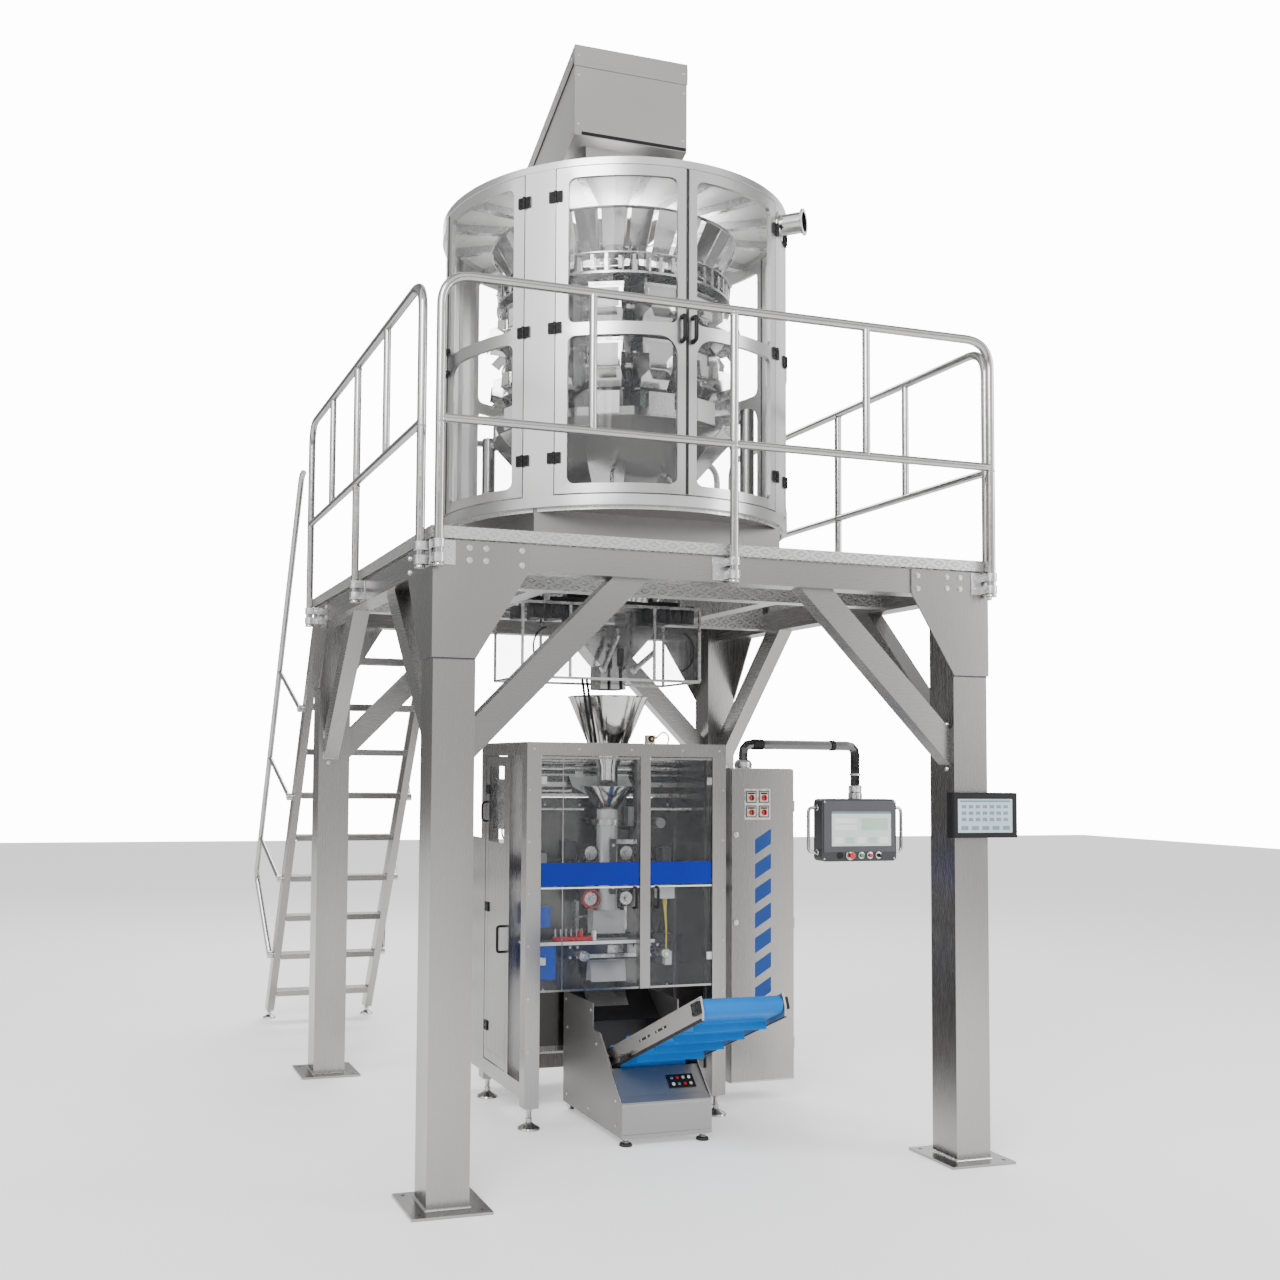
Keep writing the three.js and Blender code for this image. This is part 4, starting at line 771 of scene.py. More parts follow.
def cabinet_door(face_name, leaf, centre_deg):
    side = -1 if leaf == "a" else 1
    body = SHELL + face_name + "_" + leaf
    name = "cabinet_door_" + face_name + "_" + leaf
    u = sorted((side * 0.1 * DOOR_DEGREE, side * LEAF_DEG * DOOR_DEGREE))
    a = sorted((side * 3.1 * DOOR_DEGREE, side * (LEAF_DEG - 3.75) * DOOR_DEGREE))
    door = Piece(name + "_frame", "frame_steel", body, (name,)).use("pale_z")
    lower = [CORNER] * 4
    lower[0 if side < 0 else 3] = HANDLE_CORNER
    plates = ((DOOR_LOW, DOOR_SPLIT), (DOOR_SPLIT, DOOR_HIGH))
    for v, b, radii in zip(plates, WINDOWS, (lower, [CORNER] * 4)):
        curved_plate(door, window_ring((*u, *v), (*a, *b), radii), (DRUM - 20, DRUM), centre_deg)
    door.use("rubber")
    door.wall((DRUM - 21, DRUM + 1.5), sorted((centre_deg + side * 0.11, centre_deg + side * 0.46)),
              (DOOR_LOW + 1, DOOR_HIGH - 1), 1)
    door.use("black")
    for height in HINGES:
        hinge_leaf(door, centre_deg + side * HINGE_DEG, -side, height, (1, 29))
    at_deg = centre_deg + side * 1.75
    handle(door, polar(DRUM - 2, at_deg).xy, polar(DRUM + 38, at_deg).xy, HANDLE, 20, 6, 11, 16)
    for z in HANDLE:
        door.rod(polar(DRUM - 1, at_deg, z), polar(DRUM + 6, at_deg, z), 13, 20, 1.5)
    door.done()
    panes = Piece(name + "_panes", "clear_panel", body).use("pane")
    for b in WINDOWS:
        span = sorted((centre_deg + math.degrees(x / DRUM) for x in a))
        panes.wall((DRUM - 17, DRUM - 12), (span[0] - 0.4, span[1] + 0.4), (b[0] - 8, b[1] + 8), 14)
    panes.done()


def cabinet_shell():
    ring = Piece("cabinet_frame_ring", "frame_steel", replaces=("cabinet_frame",)).use("pale_x")
    section = [(DRUM - 30, RING_LOW), (DRUM - 3, RING_LOW), (DRUM, RING_LOW + 3), (DRUM, RING_HIGH - 4),
               (DRUM - 4, RING_HIGH), (DRUM - 30, RING_HIGH)]
    ring.spin(section, sides=128, closed=True)
    ring.use("satin").hoop((DRUM - 30, DRUM - 24), (RING_LOW - 16, RING_LOW - 0.4), sides=128)
    ring.use("pale_z")
    tall = (RING_LOW + 4, ROOF_LOW - 0.4)
    for middle in PILLARS:
        ring.wall((DRUM - 7, DRUM - 0.5), both(middle, PILLAR_HALF), tall, 6)
        for edge in (middle - PILLAR_HALF, middle + PILLAR_HALF - 0.3):
            ring.wall((DRUM - 42, DRUM - 7), (edge, edge + 0.3), tall, 1)
    ring.done()
    hinges = Piece("cabinet_frame_hinges", "black_plastic").use("black")
    for middle in PILLARS:
        for toward in (-1, 1):
            for height in HINGES:
                hinge_leaf(hinges, middle - toward * (45 - HINGE_DEG), toward, height, (-29, -1))
    hinges.done()
    spout = Piece("cabinet_vent", "frame_steel").use("mirror")
    out = polar(1, -45)
    bore = [(51, -8), (55, -8), (55, 118), (69, 118), (70, 119), (70, 127), (69, 128), (52, 128), (51, 127)]
    flange = [(55.5, -3), (78, -3), (78, 2), (60, 5), (55.5, 9)]
    for profile in (bore, flange):
        spout.spin(profile, polar(DRUM, -45, 4768), out, 48, closed=True)
    spout.done()
    roof = Piece("cabinet_roof_plate", "frame_steel", replaces=("cabinet_roof",)).use("pale_x")
    cap = [(300, ROOF_HIGH - 8), (DRUM - 30, ROOF_HIGH - 8), (DRUM - 30, ROOF_LOW), (DRUM - 2, ROOF_LOW),
           (DRUM, ROOF_LOW + 2), (DRUM, ROOF_HIGH - 3), (DRUM - 3, ROOF_HIGH), (300, ROOF_HIGH)]
    roof.spin(cap, sides=128, closed=True)
    # A white sheet under the roof plate: painted light, brightening the drum's inside as seen through the
    # upper windows.
    roof.use("white").hoop((304, DRUM - 31), (ROOF_HIGH - 12, ROOF_HIGH - 8.3), sides=128)
    roof.use("satin")
    for step in range(16):
        roof.about(22.5 * step + 11.25)
        roof.box((330, DRUM - 32), (-12, 12), (ROOF_LOW - 14, ROOF_HIGH - 12))
        roof.box((340, DRUM - 42), (-22, 22), (ROOF_LOW - 18, ROOF_LOW - 14))
    roof.about(0)
    for step in range(24):
        roof.bolt(polar(DRUM - 40, 15 * step + 7.5, ROOF_HIGH), UP, 6)
    roof.done()


cabinet_shell()
for index, face in enumerate(SIDES):
    for leaf in "ab":
        cabinet_door(face, leaf, 90 * (index - 1))


# ------------------------------------------------------------------ infeed hood
HOOD_X = (-353, 313)
HOOD_FRONT, HOOD_BACK, HOOD_TOP, HOOD_UNDER = -300, 600, 5780, 5280
FALL = 0.455
dress("infeed_hood", "sheet_x", 2.0)


def hood_details():
    piece = Piece("infeed_hood_trim", "sheet_steel", bevel=1.0).use("sheet_x")
    x0, x1 = HOOD_X
    front = HOOD_FRONT
    piece.box((x0 - 3, x1 + 3), (front - 3.6, front - 0.4), (HOOD_TOP - 118, HOOD_TOP - 4))
    for x, out in ((x0, -1), (x1, 1)):
        span = sorted((x + out * 0.4, x + out * 3.4))
        top = [(y, HOOD_TOP - 4 - FALL * (y - front)) for y in (front - 3, HOOD_BACK)]
        low = [(y, z - 84) for y, z in reversed(top)]
        piece.prism("x", top + low, span)
    piece.use("black")
    for x, out in ((x0, -1), (x1, 1)):
        span = sorted((x + out * 0.4, x + out * 1.6))
        line = [(y, HOOD_TOP - 92 - FALL * (y - front)) for y in (front + 20, HOOD_BACK - 2)]
        piece.prism("x", line + [(y, z - 7) for y, z in reversed(line)], span)
    piece.box((x0 + 40, x1 - 6), (front - 1.8, front - 0.4), (HOOD_UNDER + 4, HOOD_UNDER + 22))
    piece.use("satin")
    for z in (HOOD_UNDER + 60, HOOD_TOP - 170, HOOD_TOP - 60):
        for x in (x0 + 22, x1 - 22):
            piece.bolt((x, front - (3.8 if z > HOOD_TOP - 100 else 0.4), z), FRONT, 5)
    for x, out in ((x0, -1), (x1, 1)):
        for y in (front + 40, -60, 180, 420, HOOD_BACK - 40):
            z = HOOD_TOP - 46 - FALL * (y - front)
            piece.bolt((x + out * 3.5, y, z), (out, 0, 0), 5)
            under = max(HOOD_UNDER - FALL * (y - front), ROOF_HIGH) + 40
            piece.bolt((x + out * 0.4, y, under), (out, 0, 0), 5)
    piece.done()


hood_details()

# ------------------------------------------------------------------ multihead weigher
HEADS = 14
HEAD_DEG = [360 * (i + 0.5) / HEADS for i in range(HEADS)]


def slab(piece, corners, thick):
    """A plate through four corners, thickened along its own normal."""
    corners = [Vector(c) for c in corners]
    normal = (corners[1] - corners[0]).cross(corners[3] - corners[0]).normalized() * thick
    points = corners + [c + normal for c in corners]
    around = [(i, 4 + i, 4 + (i + 1) % 4, (i + 1) % 4) for i in range(4)]
    piece.add(points, [(0, 1, 2, 3), (7, 6, 5, 4)] + around)


def fin(piece, near, far, thick):
    """A plate across the line it runs along: (distance, half width, height) at each end."""
    (near_x, near_half, near_z), (far_x, far_half, far_z) = near, far
    slab(piece, [(near_x, -near_half, near_z), (far_x, -far_half, far_z), (far_x, far_half, far_z),
                 (near_x, near_half, near_z)], thick)


def weigher_middle():
    body = Piece("weigher_body_drum", "frame_steel", replaces=("weigher_body",), bevel=0.0).use("steel_z")
    body.spin([(0, 3700), (108, 3700), (112, 3706), (112, 3790), (330, 3860), (398, 3955), (402, 3965),
               (402, 4370), (394, 4384), (210, 4440), (150, 4497), (0, 4497)], sides=96)
    for angle in PILLARS:
        body.rod(polar(60, angle, 3748), polar(780, angle, 3748), 30, 24)
        foot = polar(780, angle)
        body.rod((foot.x, foot.y, RING_LOW + 9), (foot.x, foot.y, 3790), 38, 32, 3)
        body.rod((foot.x, foot.y, RING_LOW + 8.4), (foot.x, foot.y, RING_LOW + 22), 62, 32, 2)
    body.done()
    drives = Piece("weigher_drives", "cast_grey", bevel=2.0).use("green_grey")
    for angle in HEAD_DEG:
        drives.about(angle)
        drives.box((396, 452), (-66, 66), (3905, 4128))
        drives.box((396, 470), (-62, 62), (4150, 4372))
        drives.use("satin")
        for z in (3960, 4080, 4215, 4320):
            for y in (-34, 34):
                drives.rod((450, y, z), (492, y, z), 9, 16, 1)
                drives.rod((486, y, z), (496, y, z + 26), 6, 12)
        drives.use("green_grey")
    drives.done()
    top = Piece("dispersion_cone_disc", "polished_steel", "cone", ("dispersion_cone",)).use("mirror")
    top.spin([(0, 4500.4), (24, 4500.4), (24, 4650), (236, 4590), (244, 4596), (240, 4608),
              (120, 4664), (30, 4736), (12, 4745), (0, 4746)], sides=112)
    for k in range(12):
        a = 30 * k
        top.about(a)
        fin(top, (60, 3, 4703), (225, 3, 4616), 2.2)
    top.done()


def tray(piece, x, half, z):
    """One radial pan: a floor with two sides that flare outwards, and a turned lip."""
    wall, lip = 3.0, 12.0
    (x0, x1), (z0, z1) = x, z
    a, b = half
    fin(piece, (x0, a, z0), (x1, b, z0 - 8), wall)
    for s in (-1, 1):
        side = [(x0, s * a, z0), (x1, s * b, z0 - 8), (x1 + 6, s * (b + lip), z1),
                (x0 - 2, s * (a + lip * 0.5), z1 - 6)]
        slab(piece, side if s > 0 else side[::-1], wall)


def feed_pans():
    piece = Piece("feed_pans_trays", "polished_steel", replaces=("feed_pans",)).use("mirror")
    for angle in HEAD_DEG:
        piece.about(angle)
        tray(piece, (266, 640), (44, 122), (4474, 4566))
        piece.use("cast").box((330, 470), (-34, 34), (4400, 4455))
        piece.use("satin")
        for x in (350, 450):
            piece.rod((x, 0, 4450), (x, 0, 4473), 10, 14)
        piece.use("mirror")
    piece.about(0)
    piece.hoop((214, 304), (4446, 4464))
    for angle in HEAD_DEG:
        piece.about(angle + 180 / HEADS)
        fin(piece, (470, 9, 4470), (668, 13, 4560), 2.5)
    for step in range(2 * HEADS):
        piece.about(180 * (step + 0.25) / HEADS)
        half, lean = 52 + 6 * (step % 2), 9 * (step % 2)
        fin(piece, (556 + lean, half * 0.86, 4566), (676 + lean, half * 1.12, 4762), 2.5)
        slab(piece, [(556, half * 0.8, 4566), (678, half * 1.05, 4764), (660, half * 1.3, 4764),
                     (540, half * 1.0, 4566)], 2.0)
    piece.about(0)
    piece.hoop((676, 692), (4758, 4768))
    piece.hoop((540, 566), (4556, 4568))
    piece.use("satin")
    for step in range(56):
        piece.about(360 * step / 56)
        piece.box((610, 650), (-9, 9), (4440 + 14 * (step % 2), 4520 + 10 * (step % 3)))
        piece.rod((640, 14, 4446), (640, 14, 4500 + 12 * (step % 2)), 7, 10)
    piece.about(0)
    piece.hoop((604, 656), (4428, 4440))
    piece.hoop((560, 654), (4536, 4542))
    piece.done()


def hopper(piece, r, z, wide):
    """An open-topped hopper that narrows to its gate, with a stiffened front and hanging hooks."""
    (r0, r1), (z0, z1) = r, z
    h = wide / 2
    foot = r1 - 66
    waist = z0 + 0.42 * (z1 - z0)
    slab(piece, [(r1, h, z1), (r1, -h, z1), (r1 - 4, -h + 2, waist), (r1 - 4, h - 2, waist)], 2.5)
    slab(piece, [(r1 - 4, h - 2, waist), (r1 - 4, -h + 2, waist), (foot, -h + 12, z0),
                 (foot, h - 12, z0)], 2.5)
    slab(piece, [(r0, -h, z1), (r0, h, z1), (r0 + 6, h - 12, z0), (r0 + 6, -h + 12, z0)], 2.5)
    for s in (-1, 1):
        outline = [(r0, s * h, z1), (r1, s * h, z1), (r1 - 4, s * (h - 2), waist), (foot, s * (h - 12), z0),
                   (r0 + 6, s * (h - 12), z0)]
        shift = Vector((0, s * 2.5, 0))
        points = [Vector(p) for p in outline] + [Vector(p) + shift for p in outline]
        piece.add(points, [tuple(range(5)), tuple(range(9, 4, -1))] + ring_sides(5))
    piece.use("satin").box((r1 - 1, r1 + 5), (-h - 4, h + 4), (z1 - 16, z1))
    piece.rod((foot - 30, -h - 6, z0 + 20), (foot - 30, h + 6, z0 + 20), 6, 12)
    for s in (-1, 1):
        piece.box((r0 - 24, r0 + 60), sorted((s * (h + 3), s * (h + 8))), (z1 - 62, z1 - 40))


def hoppers():
    for name, r, z, wide, ring_z in (("feed_buckets", (474, 640), (4156, 4384), 176, 4300),
                                     ("weigh_buckets", (449, 615), (3836, 4100), 168, 3990)):
        piece = Piece(name + "_hoppers", "polished_steel", replaces=(name,))
        for index, angle in enumerate(HEAD_DEG):
            piece.about(angle)
            piece.use("mirror")
            hopper(piece, r, z, wide)
            # Every other hopper front gets a white plate: painted highlights, a mosaic of bright
            # reflections among the mirror-steel fronts.
            piece.use("white" if index % 2 else "mirror")
            half, low = wide / 2 - 22, z[0] + 0.45 * (z[1] - z[0])
            piece.box((r[1] + 1, r[1] + 4), (-half, half), (low, z[1] - 30))
            piece.use("mirror")
            for side in (-1, 1):
                lever = side * (wide / 2 + 12)
                slab(piece, [(r[0] + 60, lever, z[1] - 50), (r[1] + 62, lever * 0.8, z[1] - 96),
                             (r[1] + 70, lever * 0.8, z[0] + 84), (r[0] + 70, lever, z[0] + 40)], 3)
            fin(piece, (r[1] + 4, wide * 0.3, z[0] + 96), (r[1] + 66, wide * 0.36, z[0] + 30), 2.5)
        piece.about(0).use("satin")
        low = r[0] - 26
        piece.hoop((low, low + 28), (ring_z, ring_z + 24))
        piece.done()


def collector():
    """Overlapping sloped sheets that bring every head's product to the middle."""
    piece = Piece("collector_sheets", "polished_steel", replaces=("collector_chutes",)).use("mirror")
    half, lap = math.tan(math.pi / HEADS), 1.04
    top, low = 652, 276
    for index, angle in enumerate(HEAD_DEG):
        piece.about(angle)
        lift = 2.0 if index % 2 else 0.0
        fin(piece, (low, low * half * lap, 3258 + lift), (top, top * half * lap, 3682 + lift), 2.5)
        fin(piece, (top, top * half, 3682), (top + 10, top * half, 3724), 2.5)
        # Every other box here is white: painted highlights, bright reflections alternating round the ring.
        piece.use("white" if index % 2 else "satin")
        piece.box((560, 664), (-72, 72), (3690, 3806))
        piece.use("green_grey").box((470, 590), (-88, 88), (3730, 3830))
        piece.use("mirror")
    piece.about(0)
    piece.hoop((270, 276), (3170, 3262), sides=96)
    piece.use("satin").hoop((262, 292), (3244, 3252), sides=96)
    for quarter in range(8):
        piece.about(45 * quarter + 22.5)
        piece.rod((430, 0, 3425), (640, 0, RING_LOW + 9), 10, 14)
    piece.done()


weigher_middle()
feed_pans()
hoppers()
collector()

# ------------------------------------------------------------------ twin chute under the deck
BAG_X = -15
BOX_X, BOX_Y, BOX_Z = (-600, 430), (-235, 235), (2345, 2745)
BOX_POSTS = (-330, 160)


def chute():
    dress("discharge_chute", "mirror", 1.0)
    piece = Piece("discharge_box", "frame_steel", bevel=1.0).use("satin")
    (x0, x1), (y0, y1), (z0, z1), bar = BOX_X, BOX_Y, BOX_Z, 7
    for y in (y0, y1):
        for z in (z0, z1):
            piece.box((x0, x1), both(y, bar), both(z, bar))
        for x in (x0, *BOX_POSTS, x1):
            piece.box(both(x, bar), (y - bar + 1, y + bar - 1), (z0, z1))
    for x in (x0, x1):
        for z in (z0, z1):
            piece.box(both(x, bar), (y0, y1), (z - bar + 1, z + bar - 1))
    for x in (-470, 320):
        for y in (y0, y1):
            piece.box(both(x, 16), both(y, 16), (z1 + 11, 2846))
            piece.box(both(x, 44), both(y, 30), (2840, 2846))
    for x in (x0, *BOX_POSTS, x1):
        for z in (z0 + 14, z1 - 14):
            piece.bolt((x, y0 - bar, z), FRONT, 6)
    piece.done()
    panels = Piece("discharge_box_panels", "clear_panel").use("guard")
    wide, deep, tall = ((low + 13, high - 13) for low, high in (BOX_X, BOX_Y, BOX_Z))
    for y in ((y0 - 3, y0 + 2), (y1 - 2, y1 + 3)):
        panels.box(wide, y, tall)
    for x in ((x0 - 3, x0 + 2), (x1 - 2, x1 + 3)):
        panels.box(x, deep, tall)
    panels.done()
    seals_and_shade = Piece("discharge_seals", "black_rubber").use("rubber")
    for x, start, stop in ((-452, 100, 262), (300, -82, 80)):
        arc = [(x + 92 * math.cos(math.radians(a)), y0 - 12, 2505 + 108 * math.sin(math.radians(a)))
               for a in range(start, stop, 9)]
        seals_and_shade.tube(arc, 5, 10)
    # A black slab right under the deck: partly painted shade, a dark sheet for the shadowed mass of parts
    # above the chutes.
    seals_and_shade.box((-520, 360), (-190, 190), (2762, 2782))
    for x in (-500, -400, -300, 210, 300, 380):
        seals_and_shade.box((x - 34, x + 30), (-206, -120), (2664, 2762))
        seals_and_shade.rod((x, -206, 2704), (x, -228, 2704), 24, 24, 2)
        seals_and_shade.box((x - 26, x + 22), (110, 200), (2690, 2762))
    seals_and_shade.use("black").box((-22, 6), (-170, -142), (2420, 2520))
    seals_and_shade.tube([(-8, -156, 2425), (-6, -158, 2350), (-4, -160, 2296)], 9, 12)
    for shift in (0, 26):
        path = [(-262 + shift, -236, 2345), (-238 + shift, -228, 2210), (-196 + shift, -214, 2003)]
        seals_and_shade.tube(path, 7, 12)
    seals_and_shade.use("satin")
    for near, far, top in ((70, 190, 2505), (-110, -30, 2590)):
        seals_and_shade.rod((near, -168, 2405), (far, -168, top), 15, 18, 2)
        seals_and_shade.rod((near - 12, -168, 2396), (near, -168, 2405), 22, 18, 2)
    for k in range(9):
        x = -560 + 118 * k
        seals_and_shade.rod((x, 0, 2757), (x + 60, 30, 2835), 14, 14)
    seals_and_shade.done()
    drop = Piece("discharge_drop", "polished_steel").use("mirror")
    drop.spin([(250, 2772), (256, 2770), (336, 3100), (330, 3104)], (BAG_X, 0, 0), UP, 72, closed=True)
    for side in (-1, 1):
        for height in (2640, 2540):
            x = BAG_X + side * (160 - 0.7 * (2690 - height))
            drop.box(both(x, 96), (-81, -76), both(height, 7))
    drop.done()


chute()

# ------------------------------------------------------------------ bagging machine
BACK_Y = 150
GUARD_Y = -292
SHAFT_Z = 875
FOOT_X = (-550, 520)
dress("machine_frame", "steel_z", 2.0)
dress("guard_door_left", "guard", 0)
dress("guard_door_right", "guard", 0)
dress("side_door", "guard", 0)


def level_foot(piece, x, y):
    pad, top = 58, 112
    bell = [(0, 0), (pad, 0), (pad + 2, 4), (pad - 1, 11), (pad * 0.5, 26), (15, 36), (13, 40), (13, top)]
    piece.spin(bell, (x, y, 0.2), UP, 36)
    nut(piece, x, y, (42, 54))
    nut(piece, x, y, (top - 16, top - 4))


def door_trim():
    """Plain blue bands, a white line, black handles and hinges on the clear guard doors."""
    y = GUARD_Y
    for name, x, body, grip in (("guard_door_left", (-508, 51), "left_guard", 20),
                                ("guard_door_right", (115, 478), "right_guard", 146)):
        wide = (x[0] + 1, x[1] - 1)
        piece = Piece(name + "_trim", "band_blue", body).use("band")
        piece.box(wide, (y - 2.6, y - 0.4), (1247, 1368))
        piece.use("white").box(wide, (y - 3.6, y - 0.4), (1233, 1241))
        piece.use("steel_z")
        for z in (703, 1917):
            piece.box(wide, (y - 3, y - 0.4), (z - 3, z + 8))
        if name.endswith("left"):
            piece.box((-389, -384), (y - 2.4, y - 0.4), (711, 1914))
        piece.use("black")
        handle(piece, (grip, y + 4), (grip, y - 38), (1126, 1234), 14, 5, 7)
        edge, away = (x[0], 1) if name.endswith("left") else (x[1], -1)
        piece.use("satin")
        for z in (860, 1800):
            piece.box(sorted((edge, edge + away * 30)), (y - 4, y - 0.6), both(z, 20))
            for dz in (-11, 11):
                piece.bolt((edge + away * 19, y - 4, z + dz), FRONT, 3.5)
        piece.done()
    side = Piece("side_door_trim", "frame_steel", "side_guard", bevel=1.0).use("steel_z")
    x = (-589, -586.4)
    for ys, zs in (((36, 404), (236, 290)), ((36, 404), (1870, 1924)), ((36, 84), (290, 1870)),
                   ((356, 404), (290, 1870)), ((84, 356), (1405, 1450))):
        side.box(x, ys, zs)
    side.box((-588.4, -586.4), (84, 356), (290, 1405))
    side.use("black")
    handle(side, (-586, 62), (-628, 62), (866, 1004), 16, 6, 7)
    handle(side, (-586, 380), (-622, 380), (1560, 1668), 28, 8, 6)
    for z in (420, 1080, 1740):
        side.box((-596, -589), (340, 398), both(z, 26))
        for dz in (-14, 14):
            side.bolt((-596, 370, z + dz), (-1, 0, 0), 5)
    side.done()


def machine_details():
    piece = Piece("machine_feet", "frame_steel").use("tube")
    for x in FOOT_X:
        for y in (-260, 450):
            level_foot(piece, x, y)
    piece.use("satin")
    for x in FOOT_X:
        for z in (1750, 1480, 1210, 940, 670, 400):
            piece.bolt((x - 24 if x < 0 else x + 24, -300, z), FRONT, 3.5)
    for x in (-550, -300, 0, 300, 520):
        piece.bolt((x, -300, 1965), FRONT, 4.5)
    for x in (-250, 220):
        for near, far, radius, sides, edge in ((-276, -236, 27, 32, 4), (-284, -275, 15, 24, 3),
                                               (-215, 149, 15.2, 24, 0), (116, 149, 30, 24, 2)):
            piece.rod((x, near, SHAFT_Z), (x, far, SHAFT_Z), radius, sides, edge)
    piece.done()

    film = Piece("film_web", "film_white", bevel=0.0).use("film")
    top = [(420, 1790), (150, 1842), (66, 1762)]
    left, right = BAG_X - 180, BAG_X + 180
    for (ya, za), (yb, zb) in zip(top, top[1:]):
        slab(film, [(left, ya, za), (right, ya, za), (right, yb, zb), (left, yb, zb)], 1.0)
    slab(film, [(left, 66, 1762), (right, 66, 1762), (60, 20, 1700), (-90, 20, 1700)], 1.0)
    for side in (-1, 1):
        x = BAG_X + side * 180
        slab(film, [(x, 66, 1762), (BAG_X + side * 75, 20, 1700), (BAG_X + side * 62, -40, 1652),
                    (BAG_X + side * 92, 10, 1712)], 1.0)
    film.done()

    rollers = Piece("film_rollers", "frame_steel").use("satin")
    for y, z, radius in ((126, 1862, 17), (420, 1772, 17), (70, 1738, 10), (112, 1905, 12), (30, 1905, 9)):
        rollers.rod((-505, y, z), (-200 if y < 100 else 470, y, z), radius, 24, 1.5)
    rollers.rod((-505, -92, 1642), (-190, -92, 1642), 8, 16, 1)
    rollers.rod((-500, -92, 1642), (-478, -92, 1642), 17, 24, 3)
    rollers.rod((150, -92, 1642), (478, -92, 1642), 8, 16, 1)
    rollers.box((-505, -160), (128, 148), (1768, 1786))
    rollers.box((110, 470), (128, 148), (1768, 1786))
    rollers.box((-505, 478), (100, 124), (1704, 1722))
    rollers.done()

    tube = Piece("forming_tube_body", "polished_steel", replaces=("forming_tube",)).use("mirror")
    funnel = [(220, 2260), (57, 1870), (57, 1092), (54, 1092), (54, 1871), (216, 2260)]
    rim = [(220, 2262), (223, 2258), (220, 2252), (216, 2258)]
    for profile in (funnel, rim):
        tube.spin(profile, (BAG_X, 0, 0), UP, 72, closed=True)
    for angle in (200, 245, 290, 335):
        tube.about(angle, (BAG_X, 0, 0))
        fin(tube, (219, 4, 2254), (60, 2.5, 1874), 2.0)
    tube.about(0)
    collar = [(57.5, 1640), (66, 1646), (96, 1690), (150, 1760), (152, 1766), (148, 1767), (92, 1700),
              (60, 1668)]
    tube.spin(collar, (BAG_X, 0, 0), UP, 64, closed=True)
    tube.use("satin")
    for x in ((BAG_X - 70, BAG_X - 58), (BAG_X + 58, BAG_X + 70)):
        tube.box(x, (-18, 149.5), (1560, 1580))
    tube.box(both(BAG_X, 70), (60, 149.5), (1560, 1580))
    tube.hoop((57.5, 72), (1554, 1586), (BAG_X, 0, 0), UP, 48)
    tube.done()
    bag = Piece("formed_bag", "film_white").use("bag")
    bag.spin([(58.5, 1638), (58.8, 1400), (58.8, 1090), (57.6, 1090), (57.4, 1400), (57.4, 1638)],
             (BAG_X, 0, 0), UP, 40, closed=True)
    rows = 6
    for low, high, wide, pinch in ((960, 1088, 96, SHAFT_Z), (700, 828, 104, 828)):
        for step in range(rows):
            za, zb = (low + (high - low) * (step + k) / rows for k in (0, 1))
            deep = [8 + 34 * math.sin(math.pi * 0.5 * abs((z - pinch) / 220) ** 0.7) for z in (za, zb)]
            for s in (-1, 1):
                slab(bag, [(BAG_X - wide, s * deep[0], za), (BAG_X + wide, s * deep[0], za),
                           (BAG_X + wide, s * deep[1], zb), (BAG_X - wide, s * deep[1], zb)], 0.8)
    bag.done()


def belt_unit(side):
    """A toothed film belt round two bright pulleys on its carrier plate."""
    hand = "left" if side < 0 else "right"
    name = "pull_belt_" + hand
    cx = BAG_X + side * 105
    piece = Piece(name + "_unit", "dark_metal", "belt_unit_" + hand, (name,), bevel=0.6).use("rubber")
    outer = []
    for start, height in ((0, 1400), (1, 1150)):
        for i in range(17):
            angle = math.pi * (start + i / 16)
            outer.append((cx + 44 * math.cos(angle), height + 44 * math.sin(angle)))
    inner = [(cx + (x - cx) * 0.86, 1275 + (z - 1275) * 0.976) for x, z in outer]
    points = [(x, y, z) for y in (-28, 28) for loop in (outer, inner) for x, z in loop]
    piece.add(points, frame_faces(len(outer)))
    piece.use("satin")
    for z in (1150, 1400):
        pulley = [(0, 0), (12, 0), (14, 3), (14, 8), (36, 8), (39, 11), (39, 60), (0, 60)]
        piece.spin(pulley, (cx, -34, z), (0, 1, 0), 40)
        piece.bolt((cx, -34, z), FRONT, 8)
        for k in range(6):
            angle = math.radians(60 * k)
            piece.bolt((cx + 24 * math.cos(angle), -26, z + 24 * math.sin(angle)), FRONT, 3)
    piece.use("dark").box(both(cx, 26), (-22, 24), (1196, 1354))
    piece.box(sorted((cx - 12 * side, cx + 34 * side)), (24, 96), (1196, 1354))
    piece.use("satin").box(both(cx, 20), (-27, -22), (1220, 1330))
    for z in (1240, 1310):
        piece.bolt((cx, -27, z), FRONT, 5)
    if side < 0:
        piece.use("red")
        collar = [(41, 0), (52, 0), (54, 3), (52, 7), (41, 7)]
        piece.spin(collar, (cx, -40, 1150), (0, 1, 0), 40, closed=True)
    piece.done()


